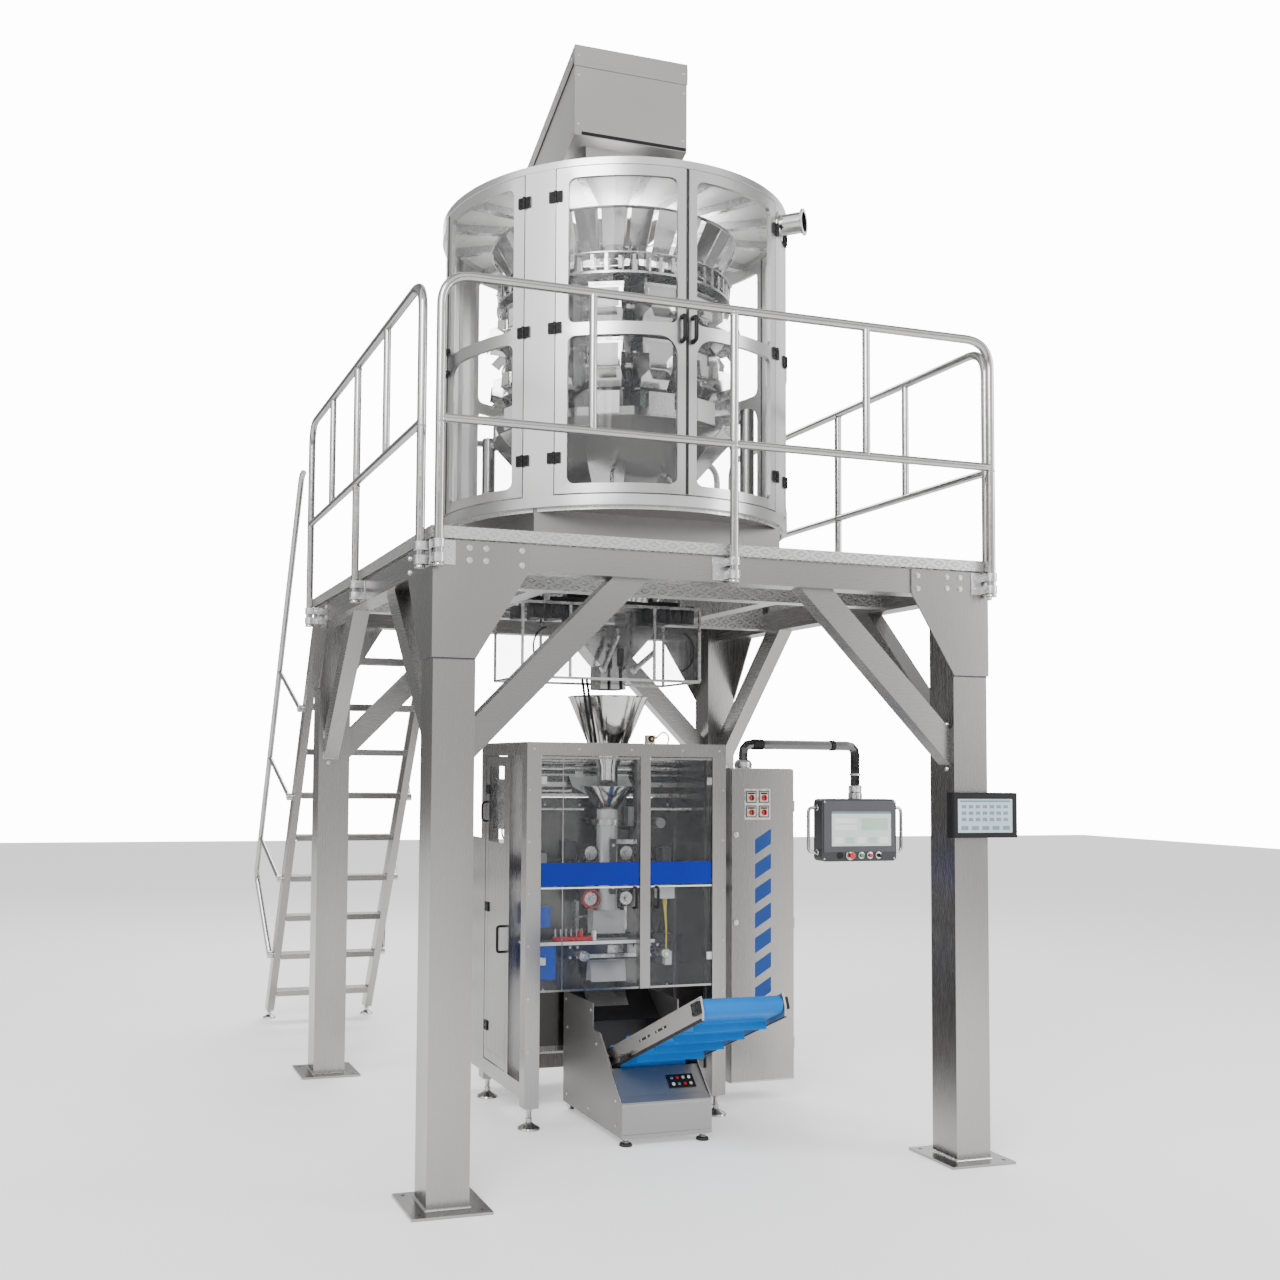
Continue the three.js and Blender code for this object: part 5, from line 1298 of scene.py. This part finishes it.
def sealing_units():
    bar = Piece("vertical_sealer_unit", "dark_metal", "back_seal_bar", ("vertical_sealer",), 1.0)
    bar.use("dark")
    bar.box(both(BAG_X, 18), (-92, -78), (1180, 1480))
    bar.use("satin").box(both(BAG_X, 12), (-78, -64), (1190, 1470))
    bar.box((BAG_X + 18, 190), (-90, -78), (1452, 1476))
    bar.rod((110, -95, 1464), (185, -95, 1464), 15, 24, 2)
    for z in (1215, 1330, 1445):
        bar.bolt((BAG_X, -92, z), FRONT, 7)
    for k in range(6):
        bar.rod((BAG_X - 22, -84, 1225 + 36 * k), (BAG_X + 22, -84, 1225 + 36 * k), 4, 10)
    bar.done()
    for name, body, near, out in (("jaw_front", "front_jaw", -110, -1), ("jaw_back", "back_jaw", 110, 1)):
        dress(name, "jaw", 2.0)
        jaw = Piece(name + "_plates", "dark_metal", body, bevel=0.8).use("satin")
        face = near - out * 80
        for z in (846, 866, 886, 906):
            jaw.box((-190, 160), sorted((face, face - out * 1.5)), both(z, 5))
        jaw.box((-200, 170), sorted((near, near + out * 9)), (842, 862))
        jaw.box((-60, 30), sorted((near, near + out * 20)), (868, 910))
        jaw.use("white").box((60, 110), sorted((near, near + out * 26)), (866, 908))
        jaw.use("satin")
        for x in (-270, -228, 198, 242):
            for z in (848, 902):
                jaw.bolt((x, near, z), (0, out, 0), 6)
        jaw.use("black")
        lead = [(88, near + out * 24, 900), (88, near + out * 40, 930), (190, near + out * 30, 940)]
        jaw.tube(rounded(lead, 12, 5), 4, 8)
        jaw.done()


def machine_wiring():
    """Boxes, valves, brackets and leads that fill the bays behind the guards."""
    lining = Piece("machine_back_sheet", "frame_steel").use("well")
    for x in ((-508, -20), (-17, 478)):
        lining.box(x, (BACK_Y - 4, BACK_Y - 0.4), (330, 1698))
    lining.box((471, 476), (-215, 145), (240, 1925))
    lining.use("satin")
    for z in (1702, 1760, 1822, 1888):
        lining.box((-505, 475), (BACK_Y - 26, BACK_Y - 4), (z, z + 9))
    lining.use("white")
    for x, z in (((-500, -392), (1815, 1886)), ((-160, -110), (1800, 1884)),
                 ((-15, 30), (1800, 1884))):
        lining.box(x, (BACK_Y - 30, BACK_Y - 26), z)
    lining.use("well").box((-505, 475), (BACK_Y - 20, BACK_Y - 8), (1702, 1896))
    lining.done()
    piece = Piece("machine_equipment", "dark_metal", bevel=1.2).use("white")
    piece.box((214, 306), (-190, -130), (1160, 1232))
    piece.box((258, 296), (-176, -140), (800, 872))
    piece.use("yellow")
    for x, lean in ((252, 10), (262, 4), (272, -4)):
        lead = [(x, -160, 1162), (x + lean, -158, 1090), (276, -150, 1000), (276, -150, 874)]
        piece.tube(rounded(lead, 30, 5), 4.5, 8)
    piece.use("dark")
    for x, y in ((196, 96), (232, 96)):
        piece.box(both(x, 11), both(y, 12), (1420, 1925))
    slab(piece, [(140, 60, 1470), (172, 60, 1456), (262, 60, 1650), (232, 60, 1664)], 26)
    boxes = ((350, 404, 60, 1240, 1420), (330, 440, 110, 760, 930), (-470, -405, 70, 1390, 1560),
             (-440, -360, 100, 1560, 1620), (-478, -430, 90, 1180, 1300), (20, 140, 60, 1390, 1520),
             (-230, -160, 96, 1360, 1460), (-10, 100, 98, 1090, 1240), (-300, -190, 112, 800, 900),
             (60, 170, 112, 800, 900), (-110, 0, 112, 790, 890))
    for x0, x1, y, z0, z1 in boxes:
        piece.box((x0, x1), (y, BACK_Y - 2), (z0, z1))
    piece.use("cast")
    for x, z, radius in ((-300, 1246, 34), (330, 1560, 30)):
        piece.rod((x, 40, z), (x, BACK_Y - 2, z), radius, 28, 4)
    piece.box((-398, -330), (106, BACK_Y - 2), (1300, 1392))
    piece.box((150, 190), (90, BACK_Y - 2), (1540, 1650))
    piece.use("black")
    for path in ([(70, 96, 1110), (120, 40, 1060), (60, 20, 1030), (-40, 30, 1060), (-100, 60, 1120)],
                 [(380, 70, 1240), (390, 40, 1130), (340, 60, 1010), (350, 120, 930)],
                 [(-440, 96, 1390), (-420, 60, 1330), (-360, 90, 1290), (-330, 130, 1310)],
                 [(180, 110, 1400), (230, 60, 1330), (320, 70, 1300), (360, 90, 1330)]):
        piece.tube(rounded(path, 30, 5), 6, 10)
    for k in range(5):
        piece.box((-478 + 20 * k, -464 + 20 * k), (40, 90), (1470, 1540))
    for k in range(4):
        piece.rod((340 + 26 * k, 108, 880), (340 + 26 * k, 84, 880), 7, 12, 1)
    piece.use("red").box((-390, -160), (-208, -150), (951, 968))
    piece.box((-250, -236), (-212, -150), (968, 1000))
    piece.use("white").box((-505, 166), (-240, -130.4), (932, 949.6))
    piece.box((-180, -164), (-220, -190), (950, 1000))
    piece.use("sky").box((-500, -392), (-214, -211), (752, 928))
    piece.box((-500, -400), (-150, -147), (1016, 1128))
    piece.use("satin")
    for x in (-430, -330, -120, 60, 300, 420):
        piece.bolt((x, BACK_Y - 1, 1660), FRONT, 7)
        piece.bolt((x, BACK_Y - 1, 640), FRONT, 7)
    for k in range(6):
        piece.rod((-380 + 30 * k, -175, 968), (-380 + 30 * k, -175, 1010), 4, 10)
    piece.box((-150, -132), (118, 149), (960, 1130))
    piece.box((140, 158), (118, 149), (960, 1130))
    piece.rod((-141, 100, 1040), (149, 100, 1040), 12, 18, 1)
    piece.done()
    side = Piece("side_bay_equipment", "dark_metal", bevel=1.0).use("black")
    for k in range(4):
        y = 92 + 52 * k
        side.box((-555, -505), (y, y + 40), (1560, 1640 + 26 * (k % 2)))
        side.box((-548, -512), (y + 4, y + 34), (1690, 1760))
        lead = [(-540, 110 + 52 * k, 1560), (-540, 118 + 48 * k, 1480), (-530, 180, 1440)]
        side.tube(rounded(lead, 24, 4), 5, 8)
    side.use("satin").box((-560, -552), (80, 360), (1520, 1800))
    side.rod((-556, 60, 1300), (-556, 380, 1300), 12, 18, 1)
    side.rod((-530, 200, 1500), (-530, 200, 1230), 14, 18, 1)
    side.done()
    top = Piece("rail_sensor", "cast_grey", bevel=1.2).use("cream")
    top.box((96, 142), (-288, -252), (2001, 2046))
    top.use("black").rod((118, -288, 2026), (118, -300, 2026), 17, 28, 2)
    top.use("brass").rod((118, -299, 2026), (118, -303, 2026), 8, 20, 1)
    top.use("satin").rod((142, -270, 2030), (160, -270, 2034), 7, 16, 1)
    loop = [(160, -270, 2034), (200, -268, 2070), (236, -266, 2040), (226, -266, 2001)]
    top.tube(rounded(loop, 22, 7), 4, 10)
    top.done()


door_trim()
machine_details()
belt_unit(-1)
belt_unit(1)
sealing_units()
machine_wiring()


def film_roll():
    roll = Piece("film_roll_reel", "film_white", "roll", ("film_roll",)).use("film")
    y, z = 645, 1080
    layers = [(135 - 0.6 * (k % 2), 60 + 140 * k) for k in range(6)]
    profile = [(40, 0), (132, 0), (135, 3), *layers, (135, 1027), (132, 1030), (40, 1030)]
    roll.spin(profile, (-530, y, z), (1, 0, 0), 72, closed=True)
    roll.use("cast").hoop((21, 40), (-2, 1032), (-530, y, z), (1, 0, 0), 40)
    roll.use("satin").rod((-578, y, z), (548, y, z), 20, 32, 2)
    for x, out in ((-530, -1), (500, 1)):
        roll.rod((x - 4 * out, y, z), (x + 20 * out, y, z), 58, 40, 3)
        for k in range(3):
            angle = math.radians(120 * k)
            spot = (x + 20 * out, y + 38 * math.cos(angle), z + 38 * math.sin(angle))
            roll.bolt(spot, (out, 0, 0), 5)
    roll.done()


film_roll()


# ------------------------------------------------------------------ electrical cabinet and panels
dress("electrical_cabinet", "sheet_z", 2.5)
dress("electrical_door", "steel_z", 3.0)
# The swivel arm takes the darkened polished tube, with its dark reflections painted into its colour.
dress("hmi_arm", "arm", 0)
dress("weigher_hmi", "black", 5.0)
HANGER_HEIGHTS = (420, 1640)


def electrical_details():
    door = Piece("electrical_door_fittings", "sheet_steel", "electrical_leaf", bevel=0.8)
    y = -119
    door.use("satin").box((770, 934), (y - 1.6, y), (1584, 1758))
    for x in (812, 892):
        for z in (1630, 1712):
            door.use("dark").box(both(x, 33), (y - 3, y - 1), both(z, 34))
            door.use("cream").box(both(x, 26), (y - 4.5, y - 2), both(z, 27))
            door.use("red")
            knob = [(0, 0), (15, 0), (17, 3), (15, 14), (10, 16), (0, 16)]
            door.spin(knob, (x, y - 4, z - 5), FRONT, 28)
            door.use("black").box(both(x, 4), (y - 24, y - 18), (z - 20, z + 10))
            door.box(both(x, 22), (y - 5.5, y - 4), (z + 15, z + 24))
    door.use("stripe")
    rise, slant = 84, 60
    for z in range(560, 560 + 7 * 138, 138):
        bar = [(838, z), (938, z + slant), (938, z + slant + rise), (838, z + rise)]
        door.prism("y", bar, (y - 1.2, y - 0.2))
    door.use("satin")
    for z in (1010, 1500):
        door.spin([(0, 0), (16, 0), (17, 2), (15, 6), (8, 7), (0, 7)], (716, y, z), FRONT, 32)
        door.box((713, 719), (y - 10, y - 6), both(z, 9))
    door.box((692, 1083), (y - 0.8, y), (128, 132))
    door.done()
    case = Piece("electrical_case_fittings", "sheet_steel", bevel=0.8).use("satin")
    for z in (330, 1000, 1660):
        case.rod((1087, -112, z - 32), (1087, -112, z + 32), 7, 16, 1.5)
        case.box((1081, 1087.5), (-108, -80), both(z, 22))
    case.use("sheet_z")
    for z in range(1500, 1716, 24):
        case.box((1084.5, 1087), (60, 210), (z, z + 8))
    case.use("black").rod((900, 130, 1873), (900, 130, 1880), 34, 28, 2)
    case.use("steel_x")
    for z in HANGER_HEIGHTS:
        for x in ((561, 567), (683, 689.5)):
            case.box(x, (14, 236), (z - 20, z + 70))
        for y in (45, 205):
            for x, out in ((683, -1), (567, 1)):
                case.bolt((x, y, z + 25), (out, 0, 0), 7)
    case.use("white").box((640, 689.5), (-20, 60), (1210, 1310))
    case.use("black")
    for z in (1180, 1340):
        case.rod((574, 100, z), (689.5, 100, z), 22, 24, 2)
    case.done()


ARM_X, ARM_Y, ARM_Z = 815, -20, 2010
PANEL_X = 1550
PANEL_Z = (1338, 1700)
PANEL_HALF, PANEL_CORNER = 250, 26
BUTTON_Z = 1372
GRIP_Z = (1390, 1648)
BUTTON_X = (1488, 1562, 1620, 1678)
SCREEN, BEZEL = ((1364, 1764), (1426, 1628)), ((1312, 1788), (1392, 1690))
SMALL_SCREEN, SMALL_BEZEL = ((1176, 1488), (1576, 1738)), ((1154, 1510), (1558, 1762))
SMALL_FACE_Y = -1482
FACE_Y = -65


def arm_details():
    """Collars and the clamp of the swivel arm, with the dark sleeve at its wall side."""
    arm = Piece("hmi_arm_fittings", "black_plastic", "swivel_arm", bevel=0.8).use("black")
    for x, half in ((905, 34), (1395, 14)):
        arm.rod((x - half, ARM_Y, ARM_Z), (x + half, ARM_Y, ARM_Z), 30.5, 32, 2)
    arm.use("satin")
    collar = [(28, 0), (48, 0), (49, 3), (47, 34), (38, 44), (30, 48), (28, 48)]
    arm.spin(collar, (ARM_X, ARM_Y, 1874), UP, 48)
    for k in range(4):
        angle = math.radians(45 + 90 * k)
        out = Vector((math.cos(angle), math.sin(angle), 0))
        arm.bolt(Vector((ARM_X, ARM_Y, 1894)) + out * 48, out, 6)
    arm.spin([(28, 0), (34, 2), (38, 10), (38, 40), (36, 42), (28, 42)], (PANEL_X, ARM_Y, 1736), UP, 48)
    arm.spin([(27.5, 0), (31, 1), (31, 12), (27.5, 13)], (PANEL_X, ARM_Y, 1836), UP, 40)
    arm.done()


def picture(piece, x, z, y, dim):
    """A lit operator picture of plain blocks and bars, with nothing written on it."""
    def patch(across, up, key, proud=0.9):
        piece.use(key)
        piece.box([x[0] + (x[1] - x[0]) * part for part in across], (y - proud, y),
                  [z[0] + (z[1] - z[0]) * part for part in up])

    gap = 0.19
    patch((0, 1), (0, 1), "screen_dark" if dim else "screen", 0.6)
    if dim:
        for row in range(3):
            for column in range(7):
                u, v = 0.07 + column * 0.127, 0.34 + row * gap
                patch((u, u + 0.085), (v, v + 0.10), "mark")
        patch((0.04, 0.96), (0.90, 0.96), "mark")
        for column in range(5):
            patch((0.06 + column * gap, 0.19 + column * gap), (0.08, 0.20), "mark")
        return
    patch((0, 1), (0.93, 1), "mark")
    for up in ((0.66, 0.80), (0.46, 0.60)):
        patch((0.06, 0.42), up, "white")
    patch((0.50, 0.94), (0.46, 0.80), "screen_green")
    for column in range(5):
        key = "screen_green" if column % 2 else "white"
        patch((0.05 + column * gap, 0.19 + column * gap), (0.08, 0.26), key)


def panel_details():
    case = Piece("hmi_panel_case", "panel_grey", "operator_panel", ("hmi_panel",), bevel=3.0).use("bezel")
    left, right = PANEL_X - PANEL_HALF, PANEL_X + PANEL_HALF
    low, high = PANEL_Z
    outline = []
    for x, z, start in ((right, high, 0), (left, high, 90), (left, low, 180), (right, low, 270)):
        x -= PANEL_CORNER * (1 if x > PANEL_X else -1)
        z -= PANEL_CORNER * (1 if z > low else -1)
        for i in range(7):
            angle = math.radians(start + 15 * i)
            outline.append((x + PANEL_CORNER * math.cos(angle), z + PANEL_CORNER * math.sin(angle)))
    case.prism("y", outline, (FACE_Y, ARM_Y + 45))
    case.use("satin").rod((PANEL_X, ARM_Y, high - 2), (PANEL_X, ARM_Y, high + 35.6), 40, 40, 2)
    case.done()
    grips = Piece("hmi_panel_grips", "polished_steel", "operator_panel").use("tube")
    for out in (-1, 1):
        x = PANEL_X + out * PANEL_HALF
        handle(grips, (x - out * 3, ARM_Y), (x + out * 62, ARM_Y), GRIP_Z, 30, 8, 10, 18)
    grips.done()
    panel = Piece("hmi_panel_fittings", "panel_grey", "operator_panel", bevel=0.5).use("dark")
    surround(panel, BEZEL, SCREEN, (FACE_Y - 3.5, FACE_Y))
    picture(panel, *SCREEN, FACE_Y - 0.4, False)
    panel.use("satin")
    bezel = [(12, 0), (20, 0), (21, 1), (20, 3), (13, 4), (12, 4)]
    for x in BUTTON_X:
        panel.spin(bezel, (x, FACE_Y, BUTTON_Z), FRONT, 32, closed=True)
    panel.use("white").hoop((23, 27), (0, 2), (BUTTON_X[0], FACE_Y, BUTTON_Z), FRONT, 40)
    panel.use("black").hoop((14, 18), (0, 5), (1420, FACE_Y, BUTTON_Z), FRONT, 28)
    panel.rod((1420, FACE_Y, BUTTON_Z), (1420, FACE_Y - 3, BUTTON_Z), 14, 28)
    for out in (-1, 1):
        x = PANEL_X + out * PANEL_HALF
        for z in GRIP_Z:
            panel.use("satin").rod((x, ARM_Y, z), (x + out * 7, ARM_Y, z), 17, 28, 2)
    for x in (1316, 1784):
        for z in (1354, 1684):
            panel.bolt((x, FACE_Y + (0 if z < 1392 else -3.5), z), FRONT, 4)
    panel.done()
    buttons = (("estop_button", "estop_cap", 19, 26, "red"), ("start_button", "start_cap", 12, 10, "green"),
               ("stop_button", "stop_cap", 12, 10, "red"), ("selector_knob", "selector", 12, 12, "black"))
    for x, (name, body, radius, proud, key) in zip(BUTTON_X, buttons):
        cap = Piece(name + "_cap", key + "_plastic", body, (name,), bevel=0.3).use(key)
        profile = [(0, 5.4), (8, 5.4), (8, 8), (radius - 2, 8), (radius, 10), (radius, 5 + proud),
                   (radius - 1.5, 6.4 + proud), (radius * 0.5, 6.9 + proud), (0, 7.0 + proud)]
        if name == "estop_button":
            profile = [(0, 5.4), (9, 5.4), (9, 14), (13, 20), (19, 23), (19.4, 26), (17, 31), (8, 32.4),
                       (0, 32.6)]
        cap.spin(profile, (x, FACE_Y, BUTTON_Z), FRONT, 40)
        if name == "selector_knob":
            cap.box(both(x, 3), (FACE_Y - 25.5, FACE_Y - 17), (1362, 1383))
            cap.use("white").box(both(x, 0.8), (FACE_Y - 26, FACE_Y - 25.5), (1373, 1382))
        cap.done()
    second = Piece("weigher_hmi_face", "black_plastic", bevel=0.5).use("black")
    surround(second, SMALL_BEZEL, SMALL_SCREEN, (SMALL_FACE_Y - 2.5, SMALL_FACE_Y))
    picture(second, *SMALL_SCREEN, SMALL_FACE_Y - 0.3, True)
    second.use("black").box(SMALL_SCREEN[0], (-1438, -1424), (1584, 1736))
    second.box((1270, 1350), (-1430, -1405.4), (1610, 1710))
    second.use("satin").rod((1310, -1438, 1660), (1310, -1405.4, 1660), 26, 28)
    second.done()


electrical_details()
arm_details()
panel_details()


# ------------------------------------------------------------------ take-away conveyor
HEAD = Vector((0, -1478, 808))
TAIL = Vector((0, -330, 330))
BELT_OUTER, BELT_INNER = 40.3, 36.4
RUN = (HEAD - TAIL).length
ALONG = (HEAD - TAIL).normalized()
LIFT = Vector((0, ALONG.z, -ALONG.y))
BED_X = (-190, 230)
BELT_X = (-176, 216)
BASE_X = (-225, 265)
dress("conveyor_base", "dull_x", 2.0)
dress("conveyor_bed", "dull_y", 2.0)


def bed(x, along, up):
    return Vector((x, 0, 0)) + TAIL + ALONG * along + LIFT * up


def conveyor_belt():
    belt = Piece("conveyor_belt_loop", "belt_blue", replaces=("conveyor_belt",), sharp=50).use("belt")
    turns, runs = 14, 24
    path = [(RUN, -math.pi / 2 + math.pi * i / turns) for i in range(turns + 1)]
    path += [(RUN * (1 - i / runs), math.pi / 2) for i in range(1, runs)]
    path += [(0, math.pi / 2 + math.pi * i / turns) for i in range(turns + 1)]
    path += [(RUN * i / runs, 3 * math.pi / 2) for i in range(1, runs)]
    points = [bed(x, along + radius * math.cos(a), radius * math.sin(a))
              for x in BELT_X for radius in (BELT_OUTER, BELT_INNER) for along, a in path]
    belt.add(points, frame_faces(len(path)))
    across = (BELT_X[0] + 14, BELT_X[1] - 14)
    pitch, tall = 226, 42
    cleat = [(-14, 0), (-5, 5), (-2.6, 12), (-2.2, tall - 2), (-1, tall)]
    cleat += [(-u, v) for u, v in reversed(cleat)]
    for k in range(5):
        at = 120 + pitch * k
        for sign, where in ((1, at), (-1, at + 90)):
            if sign > 0 and where > 420:
                continue
            high = tall if sign < 0 else 26
            ring = [(where + u, sign * (BELT_OUTER - 0.1 + min(v, high))) for u, v in cleat]
            belt.add([bed(x, u, v) for x in across for u, v in ring], solid_faces(len(ring)))
    belt.done()


def conveyor_rollers():
    for name, body, along in (("drive_roller", "head_roller", RUN), ("tail_roller", "foot_roller", 0)):
        roller = Piece(name + "_barrel", "dark_metal", body, (name,)).use("satin")
        start, end = bed(BELT_X[0] + 2, along, 0), bed(BELT_X[1] - 2, along, 0)
        roller.rod(start, end, 35.4, 48, 2)
        roller.rod(bed(BED_X[0] - 8, along, 0), bed(BED_X[1] + 8, along, 0), 10, 28, 1.5)
        roller.use("black")
        for x in (BELT_X[0] - 1, BELT_X[1] - 3):
            roller.rod(bed(x, along, 0), bed(x + 4, along, 0), 20, 28, 1)
        roller.done()


def bed_details():
    piece = Piece("conveyor_bed_fittings", "sheet_steel", bevel=1.0)
    for side, x in ((-1, BED_X[0]), (1, BED_X[1])):
        out = (side, 0, 0)
        proud = sorted((x, x + side * 2.5))
        piece.use("dull_y").box(proud, (-28, RUN + 36), (37, 43), bed)
        piece.use("black").box(sorted((x - side * 8, x + side * 2.5)), (-28, RUN + 20), (-62, -48), bed)
        for start in (560, 760):
            piece.box(sorted((x, x + side * 1.6)), (start, start + 130), (-8, 4), bed)
        piece.box(sorted((x, x + side * 1.4)), (300, 470), (-34, -28), bed)
        piece.box(sorted((x, x + side * 16)), (RUN - 34, RUN + 38), (-28, 26), bed)
        for u, v in ((RUN - 26, 20), (RUN - 26, -18), (RUN + 26, 20), (RUN + 26, -16)):
            piece.bolt(bed(x + side * 16, u, v), out, 4.5)
        piece.rod(bed(x + side * 6, RUN, 0), bed(x + side * 19, RUN, 0), 19, 28, 3)
        piece.box(sorted((x + side * 0.2, x + side * 20)), (330, 430), (-58, -36), bed)
        piece.use("satin")
        for u, v in ((590, -2), (660, -2), (790, -2), (860, -2), (140, 10), (140, -34)):
            piece.bolt(bed(x, u, v), out, 6.5)
    piece.use("rubber").box(BELT_X, (150, RUN - 140), (-34, -32.4), bed)
    piece.use("steel_y")
    for side in (-1, 1):
        x = (BED_X[0] if side < 0 else BED_X[1]) + side * 4
        strut = [bed(x, 470, -40), bed(x, 520, -40), (x, -420, 372), (x, -470, 372)]
        slab(piece, strut, 6)
    piece.done()


def base_details():
    piece = Piece("conveyor_base_fittings", "frame_steel", bevel=1.0)
    slope = Vector((0, -150, -137)).normalized()
    lean = Vector((0, slope.z, -slope.y))
    middle = Vector((0, -641, 283))

    def on_panel(x, along, up):
        return Vector((x, 0, 0)) + middle - slope * along + lean * up

    sign = -1 if lean.y > 0 else 1
    piece.use("black").box((60, 205), (-34, 44), sorted((0, sign * 4.5)), on_panel)
    for row in (-14, 22):
        for k in range(4):
            piece.use(("white", "satin", "red", "cream")[(k + (row > 0)) % 4])
            spot = on_panel(84 + 32 * k, row, sign * 4.5)
            piece.spin([(0, 0), (8, 0), (9, 1.5), (8, 5), (0, 6)], spot, lean * sign, 20)
    piece.use("steel_x")
    for x in (BASE_X[0] + 1, BASE_X[1] - 1):
        slab(piece, [(x, -720, 216), (x, -718, 222), (x, -426, 507), (x, -430, 501)], 6)
    for z in ((44, 60), (196, 210)):
        piece.box(BASE_X, (-722.5, -720), z)
    piece.use("black").box((BASE_X[0] + 60, BASE_X[1] - 60), (-721.4, -720), (204, 207))
    piece.box((BASE_X[0] + 5, BASE_X[1] - 5), (88, 95), (500, 640))
    slab(piece, [(BASE_X[0] + 6, -120, 505), (BASE_X[1] - 6, -120, 505), (BASE_X[1] - 6, 60, 636),
                 (BASE_X[0] + 6, 60, 636)], 3)
    piece.use("satin")
    for x, side in ((BASE_X[0], -1), (BASE_X[1], 1)):
        for y, z in ((-640, 90), (-640, 210), (40, 90), (40, 450), (-380, 440), (-280, 90), (-300, 600),
                     (60, 600)):
            piece.bolt((x, y, z), (side, 0, 0), 6)
    for x in (BASE_X[0] + 35, BASE_X[1] - 35):
        piece.use("rubber")
        piece.spin([(0, 0), (32, 0), (33, 4), (30, 13), (18, 18), (0, 18)], (x, -685, 0.3), UP, 32)
        piece.use("satin").rod((x, -685, 16), (x, -685, 46), 11, 20)
        nut(piece, x, -685, (30, 40), 17)
        piece.use("rubber")
        wheel = [(10, -13), (22, -13), (26.5, -9), (26.5, 9), (22, 13), (10, 13)]
        piece.spin(wheel, (x, 60, 26.6), (1, 0, 0), 36, closed=True)
        piece.use("satin")
        for out in (-17, 15):
            piece.box((x + out, x + out + 2), (38, 82), (10, 46))
    piece.done()


conveyor_belt()
conveyor_rollers()
bed_details()
base_details()


# ------------------------------------------------------------------ floor
def add_floor():
    mesh = bpy.data.meshes.new("floor")
    corners = [(CENTRE.x + x * FLOOR_HALF, CENTRE.y + y * FLOOR_HALF, -FLOOR_DROP)
               for x, y in ((-1, -1), (1, -1), (1, 1), (-1, 1))]
    mesh.from_pydata(corners, [], [(0, 1, 2, 3)])
    mat = shader("studio floor", (0.90, 0.90, 0.895), 0.7,
                 Emission_Color=(1, 1, 1, 1), Emission_Strength=FLOOR_GLOW)
    mesh.materials.append(mat)
    floor = bpy.data.objects.new("floor", mesh)
    bpy.context.scene.collection.objects.link(floor)


add_floor()
